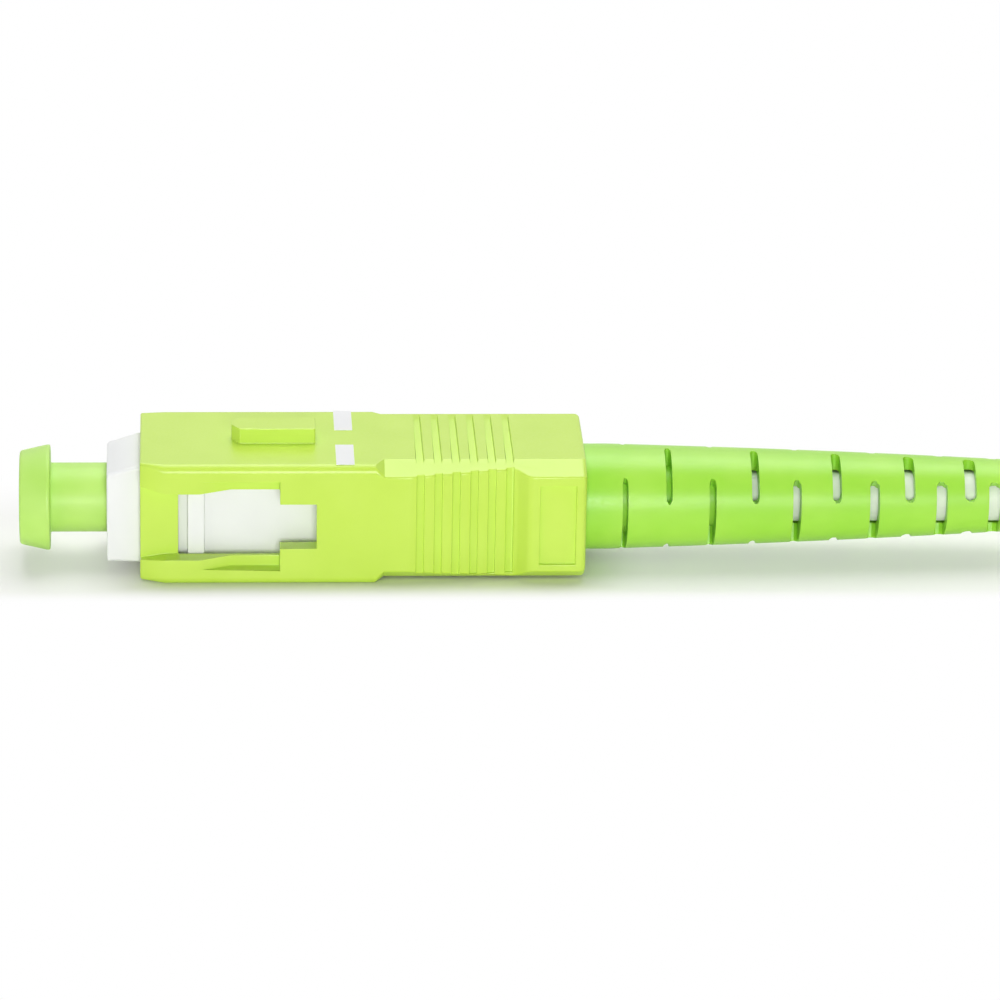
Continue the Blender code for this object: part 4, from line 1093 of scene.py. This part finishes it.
def flange_mesh():
    """The ferrule's metal seat: a rim with four tuning notches, and a tube inside the spring."""
    corners = [
        (TUBE_END, TUBE_BORE, 0),
        (TUBE_END, TUBE_RADIUS, 0.1 * MM),
        (FLANGE_REAR, TUBE_RADIUS, 0.08 * MM),
        (FLANGE_REAR, FLANGE_RADIUS, 0.1 * MM),
        (FLANGE_FRONT, FLANGE_RADIUS, 0.25 * MM),
        (FLANGE_FRONT, FERRULE_SEAT, 0),
        (SEAT_END, FERRULE_SEAT, 0),
        (SEAT_END, TUBE_BORE, 0),
    ]
    body = turned("flange", corners)
    half = FLANGE_NOTCH / 2
    front = FLANGE_FRONT - FLANGE_NOTCH
    rear = FLANGE_REAR + FLANGE_NOTCH
    ends = (FLANGE_RADIUS - FLANGE_NOTCH, FLANGE_RADIUS + FLANGE_NOTCH)
    spans = [ends, (-ends[1], -ends[0])]
    notches = [((front, low, -half), (rear, high, half)) for low, high in spans]
    notches += [((front, -half, low), (rear, half, high)) for low, high in spans]
    return softened(carved("flange", body, (), [boxes("notches", notches)]), FLANGE_EDGE, CUT_EDGE_ANGLE)


def spring_mesh():
    """The spring behind the flange, with closed turns at both ends."""
    start = SPRING_FROM + SPRING_WIRE / 2
    length = SPRING_TO - SPRING_FROM - SPRING_WIRE
    open_turns = SPRING_CURLS - 2 * SPRING_DEAD_TURNS
    open_pitch = (length - 2 * SPRING_DEAD_TURNS * SPRING_WIRE) / open_turns
    points = []
    for k in range(SPRING_CURLS * SPRING_CURL_POINTS + 1):
        turns = k / SPRING_CURL_POINTS
        opened = min(max(turns - SPRING_DEAD_TURNS, 0), open_turns)
        along = start + opened * open_pitch + (turns - opened) * SPRING_WIRE
        angle = 2 * pi * turns
        points.append((along, SPRING_RADIUS * cos(angle), SPRING_RADIUS * sin(angle)))
    return baked(new_object("spring", round_wire("spring", SPRING_WIRE / 2, points, SPRING_RESOLUTION)))


def buffer_mesh():
    corners = [
        (BUFFER_FROM, 0, 0),
        (BUFFER_FROM, BUFFER_RADIUS, 0.05 * MM),
        (BUFFER_TO, BUFFER_RADIUS, 0.05 * MM),
        (BUFFER_TO, 0, 0),
    ]
    return turned("buffer", corners, TURN_SEGMENTS // 2)


def rings(middles, half, base, peak, radius):
    """Profile corners of rings round a tube: at each middle it goes from the base to the peak and back."""
    corners = []
    for middle in middles:
        for offset, across in ((-half, base), (-half / 2, peak), (half / 2, peak), (half, base)):
            corners.append((middle + offset, across, radius))
    return corners


def backbone_mesh():
    """The stop ring with its snap lugs and collar, and the ringed barrel that the yarn is crimped on."""
    pitch = (BACKBONE_TO - BARREL_FROM) / (BARREL_RINGS + 1)
    valley = BARREL_RADIUS - BARREL_RING_DEPTH
    corners = [
        (BARREL_FROM, BARREL_BORE, 0),
        (BARREL_FROM, BACKBONE_BORE, 0),
        (BACKBONE_FROM, BACKBONE_BORE, 0.1 * MM),
        (BACKBONE_FROM, BACKBONE_NOSE, 0.15 * MM),
        (COLLAR_FROM, BACKBONE_NOSE, 0.05 * MM),
        (COLLAR_FROM, COLLAR_RADIUS, 0.12 * MM),
        (BARREL_FROM, COLLAR_RADIUS, 0.12 * MM),
        (BARREL_FROM, valley, 0.05 * MM),
    ]
    middles = [BARREL_FROM + pitch * (number + 1) for number in range(BARREL_RINGS)]
    corners += rings(middles, pitch / 3, valley, BARREL_RADIUS, 0.05 * MM)
    corners += [(BACKBONE_TO, valley, 0.08 * MM), (BACKBONE_TO, BARREL_BORE, 0.05 * MM)]
    corners.append((BARREL_FROM + pitch, BARREL_BORE, 0))
    body = turned("backbone", corners)
    inner = BACKBONE_BORE + 0.1 * MM
    top = BACKBONE_NOSE + LUG_RISE
    lug = [(LUG_FROM, inner), (LUG_FROM, BACKBONE_NOSE), (LUG_TO, top), (LUG_TO, inner)]
    lugs = []
    for sign in (-1, 1):
        outline = [(x, sign * up) for x, up in lug]
        lugs.append(prism("lug", outline, -LUG_HALF_WIDTH, LUG_HALF_WIDTH, "Y"))
    return carved("backbone", body, lugs)


def sleeve_mesh():
    """The crimp sleeve: a thin tube necked down on the jacket, with four rings where the tool bit."""
    corners = [
        (SLEEVE_NECK_FROM, SLEEVE_RADIUS - SLEEVE_WALL, 0),
        (SLEEVE_FROM, SLEEVE_RADIUS - SLEEVE_WALL, 0.05 * MM),
        (SLEEVE_FROM, SLEEVE_RADIUS, 0.08 * MM),
    ]
    pitch = (SLEEVE_NECK_FROM - SLEEVE_FROM) / CRIMPS
    middles = [SLEEVE_FROM + pitch * (number + 0.5) for number in range(CRIMPS)]
    corners += rings(middles, CRIMP_BITE_LENGTH / 2, SLEEVE_RADIUS, SLEEVE_RADIUS - CRIMP_BITE, 0.1 * MM)
    corners += [
        (SLEEVE_NECK_FROM, SLEEVE_RADIUS, 0.2 * MM),
        (SLEEVE_NECK_TO, SLEEVE_TAIL_RADIUS, 0.2 * MM),
        (SLEEVE_TO, SLEEVE_TAIL_RADIUS, 0.08 * MM),
        (SLEEVE_TO, SLEEVE_TAIL_RADIUS - SLEEVE_WALL, 0.05 * MM),
        (SLEEVE_NECK_TO, SLEEVE_TAIL_RADIUS - SLEEVE_WALL, 0),
    ]
    return turned("sleeve", corners)


def ring_of_strands(tree, given):
    ring = {"Vertices": given["Strands"], "Radius": given["Mean radius"]}
    circle = add(tree, "GeometryNodeMeshCircle", links=ring).outputs[0]
    tube = {"Radius": given["Strand radius"], "Depth": given["Length"]}
    strand = add(tree, "GeometryNodeMeshCylinder", {"Vertices": STRAND_SIDES}, tube).outputs[0]
    return add(tree, "GeometryNodeInstanceOnPoints", links={"Points": circle, "Instance": strand}).outputs[0]


def yarn_mesh(finish):
    """Strands of yarn laid side by side round the barrel."""
    sizes = {
        "Strands": YARN_STRANDS,
        "Mean radius": YARN_RADIUS - YARN_THICKNESS / 2,
        "Strand radius": YARN_THICKNESS / 2,
        "Length": YARN_TO - YARN_FROM,
        "Finish": finish,
    }
    piece = new_object("yarn", bpy.data.meshes.new("yarn"))
    mesh = made_by_nodes("laid_strands", piece, sizes, ring_of_strands)
    middle = (YARN_FROM + YARN_TO) / 2
    mesh.transform(Matrix.Translation((middle, 0, 0)) @ Matrix.Rotation(pi / 2, 4, "Y"))
    return mesh


# ---------------------------------------------------------------- boot

BOOT_FROM, BOOT_TO = span_of("strain_relief_boot")
BOOT_MOUTH_RADIUS = radius_of("strain_relief_boot")
BOOT_TAIL_RADIUS = 2.025 * MM
BOOT_STRAIGHT_TO = 27.2 * MM
BOOT_BULGE = 0.09 * MM
BOOT_BORE = 1.62 * MM
BOOT_SLEEVE_BORE = SLEEVE_RADIUS + 0.1 * MM
BOOT_TAIL_BORE = SLEEVE_TAIL_RADIUS + 0.1 * MM
BOOT_BORE_LAG = 0.3 * MM
BOOT_BORE_SLOPE = 0.8 * MM
BOOT_RIM = 0.22 * MM
BOOT_STATIONS = 40
SLOTS = {
    "Count": 11,
    "First": 28.15 * MM,
    "Pitch": 2.56 * MM,
    "Closing": 0.01368 * MM,
    "Width": 0.33 * MM,
    "Widening": 0.04 * MM,
    "Turn": radians(18),
    "Step": pi / 2,
}
SLOT_SECTORS = ((-19, 60), (120, 240))  # degrees from the far side: the far sectors are shorter
BLIND_FROM = 27.0 * MM  # the first slots stop at this cone
BLIND_FROM_RADIUS = 2.14 * MM
BLIND_TO = 35.4 * MM
SLOT_END_ROUND = radians(9)
SLOT_STEPS = 24
SLOT_INSIDE = 0.9 * MM
SLOT_OUTSIDE = 4.5 * MM
SLOT_LEAST = 0.3  # of its width, at its very ends


def boot_radius(x):
    """The boot's outer radius: straight inside the housing, then a taper with a slight bulge."""
    along = min(max((x - BOOT_STRAIGHT_TO) / (BOOT_TO - BOOT_STRAIGHT_TO), 0), 1)
    evenly = BOOT_MOUTH_RADIUS + (BOOT_TAIL_RADIUS - BOOT_MOUTH_RADIUS) * along
    return evenly + BOOT_BULGE * sin(pi * along)


def slot_tool():
    """What one slot takes away: two opposite sectors with rounded ends, 1 m wide along the axis."""
    bm = bmesh.new()
    for start, end in SLOT_SECTORS:
        half_angle = radians(end - start) / 2
        rings = []
        for k in range(SLOT_STEPS + 1):
            angle = half_angle * (2 * k / SLOT_STEPS - 1)
            from_end = min((half_angle - abs(angle)) / SLOT_END_ROUND, 1)
            half = max(SLOT_LEAST, (1 - (1 - from_end) ** 2) ** 0.5) / 2
            corners = [(-half, SLOT_INSIDE), (half, SLOT_INSIDE), (half, SLOT_OUTSIDE), (-half, SLOT_OUTSIDE)]
            turn = angle + radians(start + end) / 2
            rings.append([(x, r * cos(turn), r * sin(turn)) for x, r in corners])
        skin(bm, rings)
    return mesh_of("slot_tool", bm)


def boot_mesh(finish):
    """The strain relief boot: a tapering tube that its slots, in turn on two sides, let bend."""
    body_end = SLEEVE_NECK_FROM + BOOT_BORE_LAG
    tail_from = SLEEVE_NECK_TO + BOOT_BORE_LAG
    tail_to = SLEEVE_TO + BOOT_BORE_LAG
    corners = [
        (body_end, BOOT_SLEEVE_BORE, 0),
        (BOOT_FROM, BOOT_SLEEVE_BORE, 0.1 * MM),
        (BOOT_FROM, BOOT_MOUTH_RADIUS, 0.15 * MM),
    ]
    for k in range(BOOT_STATIONS):
        x = BOOT_STRAIGHT_TO + (BOOT_TO - BOOT_RIM - BOOT_STRAIGHT_TO) * k / BOOT_STATIONS
        corners.append((x, boot_radius(x), 0))
    corners += [
        (BOOT_TO, BOOT_TAIL_RADIUS, BOOT_RIM),
        (BOOT_TO, BOOT_BORE, 0.08 * MM),
        (tail_to + BOOT_BORE_SLOPE, BOOT_BORE, 0.3 * MM),
        (tail_to, BOOT_TAIL_BORE, 0.3 * MM),
        (tail_from, BOOT_TAIL_BORE, 0),
    ]
    body = turned("boot", corners)
    blind = [
        (BLIND_FROM, 0, 0),
        (BLIND_FROM, BLIND_FROM_RADIUS, 0),
        (BLIND_TO, BOOT_BORE - SPECK, 0),
        (BLIND_TO, 0, 0),
    ]
    core = turned("core", blind)
    return cut_along("boot_slots", body, slot_tool(), core, {**SLOTS, "Finish": finish})


# ---------------------------------------------------------------- the connectors


WITH_FLATS = ("grip", "marks", "plug")


def make_connectors(finishes):
    """Both ends. It returns the pieces of the far one, which hang on the cable."""
    pieces = (
        ("grip", grip_mesh(finishes["lime_plastic"]), "grip", "grip_housing", "lime_plastic"),
        ("marks", marks_mesh(), "grip", "", "white_plastic"),
        ("plug", frame_mesh(), "", "plug_frame", "white_plastic"),
        ("cap", cap_mesh(), "cap", "dust_cap", "cap_green"),
        ("ferrule_tip", ferrule_mesh(), "ferrule", "ferrule", "ceramic"),
        ("flange", flange_mesh(), "ferrule", "ferrule_flange", "nickel"),
        ("fibre", buffer_mesh(), "ferrule", "buffered_fibre", "buffer"),
        ("coil_spring", spring_mesh(), "", "spring", "steel"),
        ("stop", backbone_mesh(), "", "backbone", "nickel"),
        ("strands", yarn_mesh(finishes["yarn"]), "", "aramid_yarn", "yarn"),
        ("sleeve", sleeve_mesh(), "", "crimp_sleeve", "aluminium"),
        ("boot", boot_mesh(finishes["soft_green"]), "", "strain_relief_boot", "soft_green"),
    )
    far_pieces = []
    for name, mesh, body, node, slot in pieces:
        mesh = shaded(mesh, name in WITH_FLATS)
        for side, suffix in (("near", ""), ("far", "_far")):
            rides_on = f"{body}_{side}" if body else ROOT
            stands_for = node + suffix if node else ""
            piece = finished(name, mesh, finishes[slot], side, rides_on, stands_for)
            if name == "coil_spring":
                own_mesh(piece)
            if side == "far":
                far_pieces.append(piece)
    return far_pieces


# ---------------------------------------------------------------- studio

TABLE_HALF = 2.0
TABLE_ROUGHNESS = 0.6
WHITE_BEHIND = (0.002, 0.012)
WHITE_BEFORE = (-0.0043, -0.0071)
PALER_BESIDE = (0.011, 0.017)  # from the middle of the housing, along
PALER_SHARE = 0.36
WHITE_PAST_ENDS = (0.006, 0.03)  # from the cord's ends, along


def seen_white(tree):
    """1 on the rays on which the surroundings are white: to the camera, and mirrored or let through."""
    rays = add(tree, "ShaderNodeLightPath").outputs
    seen = rays["Is Camera Ray"]
    for ray in ("Is Glossy Ray", "Is Transmission Ray"):
        seen = add(tree, "ShaderNodeMath", {"operation": "MAXIMUM"}, {0: seen, 1: rays[ray]}).outputs[0]
    return seen


def make_table():
    """A pale table that runs out of the picture on every side, and fades to white away from the cord."""
    bm = bmesh.new()
    bmesh.ops.create_grid(bm, x_segments=1, y_segments=1, size=TABLE_HALF)
    table = new_object("table", mesh_of("table", bm))
    material, tree, shader, place = new_material("pale_table")
    shader.inputs["Base Color"].default_value = linear("f6f5f3")
    shader.inputs["Roughness"].default_value = TABLE_ROUGHNESS
    parts = add(tree, "ShaderNodeSeparateXYZ", links={0: place}).outputs
    middle = seat("near").translation.x + HOUSING_END / 2
    from_middle = add(tree, "ShaderNodeMath", {"operation": "SUBTRACT", 1: middle}, {0: parts["X"]})
    beside = add(tree, "ShaderNodeMath", {"operation": "ABSOLUTE"}, {0: from_middle.outputs[0]})
    fades = []
    for distance, (start, end), most in (
        (parts["Y"], WHITE_BEHIND, 1.0),
        (parts["Y"], WHITE_BEFORE, 1.0),
        (parts["X"], [cad_low.x - past for past in WHITE_PAST_ENDS], 1.0),
        (parts["X"], [cad_high.x + past for past in WHITE_PAST_ENDS], 1.0),
        (beside.outputs[0], PALER_BESIDE, PALER_SHARE),
    ):
        settings = {"interpolation_type": "SMOOTHSTEP", "From Min": start, "From Max": end, "To Max": most}
        fade = add(tree, "ShaderNodeMapRange", settings, {"Value": distance}).outputs[0]
        fades.append(fade)
    far_off = fades[0]
    for fade in fades[1:]:
        far_off = add(tree, "ShaderNodeMath", {"operation": "MAXIMUM"}, {0: far_off, 1: fade}).outputs[0]
    share = add(tree, "ShaderNodeMath", {"operation": "MULTIPLY"}, {0: far_off, 1: seen_white(tree)})
    white = add(tree, "ShaderNodeEmission", {"Color": (1, 1, 1, 1), "Strength": 1.0})
    sides = {0: share.outputs[0], 1: shader.outputs[0], 2: white.outputs[0]}
    mixed = add(tree, "ShaderNodeMixShader", links=sides)
    output = next(node for node in tree.nodes if node.type == "OUTPUT_MATERIAL")
    tree.links.new(mixed.outputs[0], output.inputs[0])
    table.data.materials.append(material)


def soft_box(name, place, size, power):
    """A square lamp that faces the connector."""
    data = bpy.data.lights.new(name, "AREA")
    data.shape = "SQUARE"
    data.size = size
    data.energy = power
    light = bpy.data.objects.new(name, data)
    bpy.context.scene.collection.objects.link(light)
    light.location = place
    light.rotation_euler = (-Vector(place)).to_track_quat("-Z", "Y").to_euler()


TENT_LIGHT = 0.17
LAMPS = {  # place, size and power
    "lamp_behind": ((0.05, 0.28, 0.42), 0.5, 0.88),
    "lamp_above": ((0.02, 0.14, 0.5), 0.35, 1.28),
    "lamp_before": ((0.0, -0.46, 0.085), 0.16, 1.07),
    "lamp_left": ((-0.33, -0.3, 0.2), 0.3, 0.24),
}


def light_studio():
    """A white tent, broad lamps behind, above and in front, and a weaker one at the front left."""
    world = bpy.data.worlds.new("tent")
    bpy.context.scene.world = world
    world.use_nodes = True
    tree = world.node_tree
    tree.nodes.clear()
    ends = {"To Min": TENT_LIGHT, "To Max": 1.0}
    strength = add(tree, "ShaderNodeMapRange", ends, {"Value": seen_white(tree)})
    tent = add(tree, "ShaderNodeBackground", {"Color": (1, 1, 1, 1)}, {"Strength": strength.outputs[0]})
    output = add(tree, "ShaderNodeOutputWorld")
    tree.links.new(tent.outputs[0], output.inputs[0])
    for name, settings in LAMPS.items():
        soft_box(name, *settings)


# ---------------------------------------------------------------- the whole

bpy.context.scene.view_settings.view_transform = "Standard"
make_camera()
finishes = make_finishes()
cable, cable_length = make_cable(finishes["jacket"])
far_pieces = make_connectors(finishes)
make_table()
light_studio()
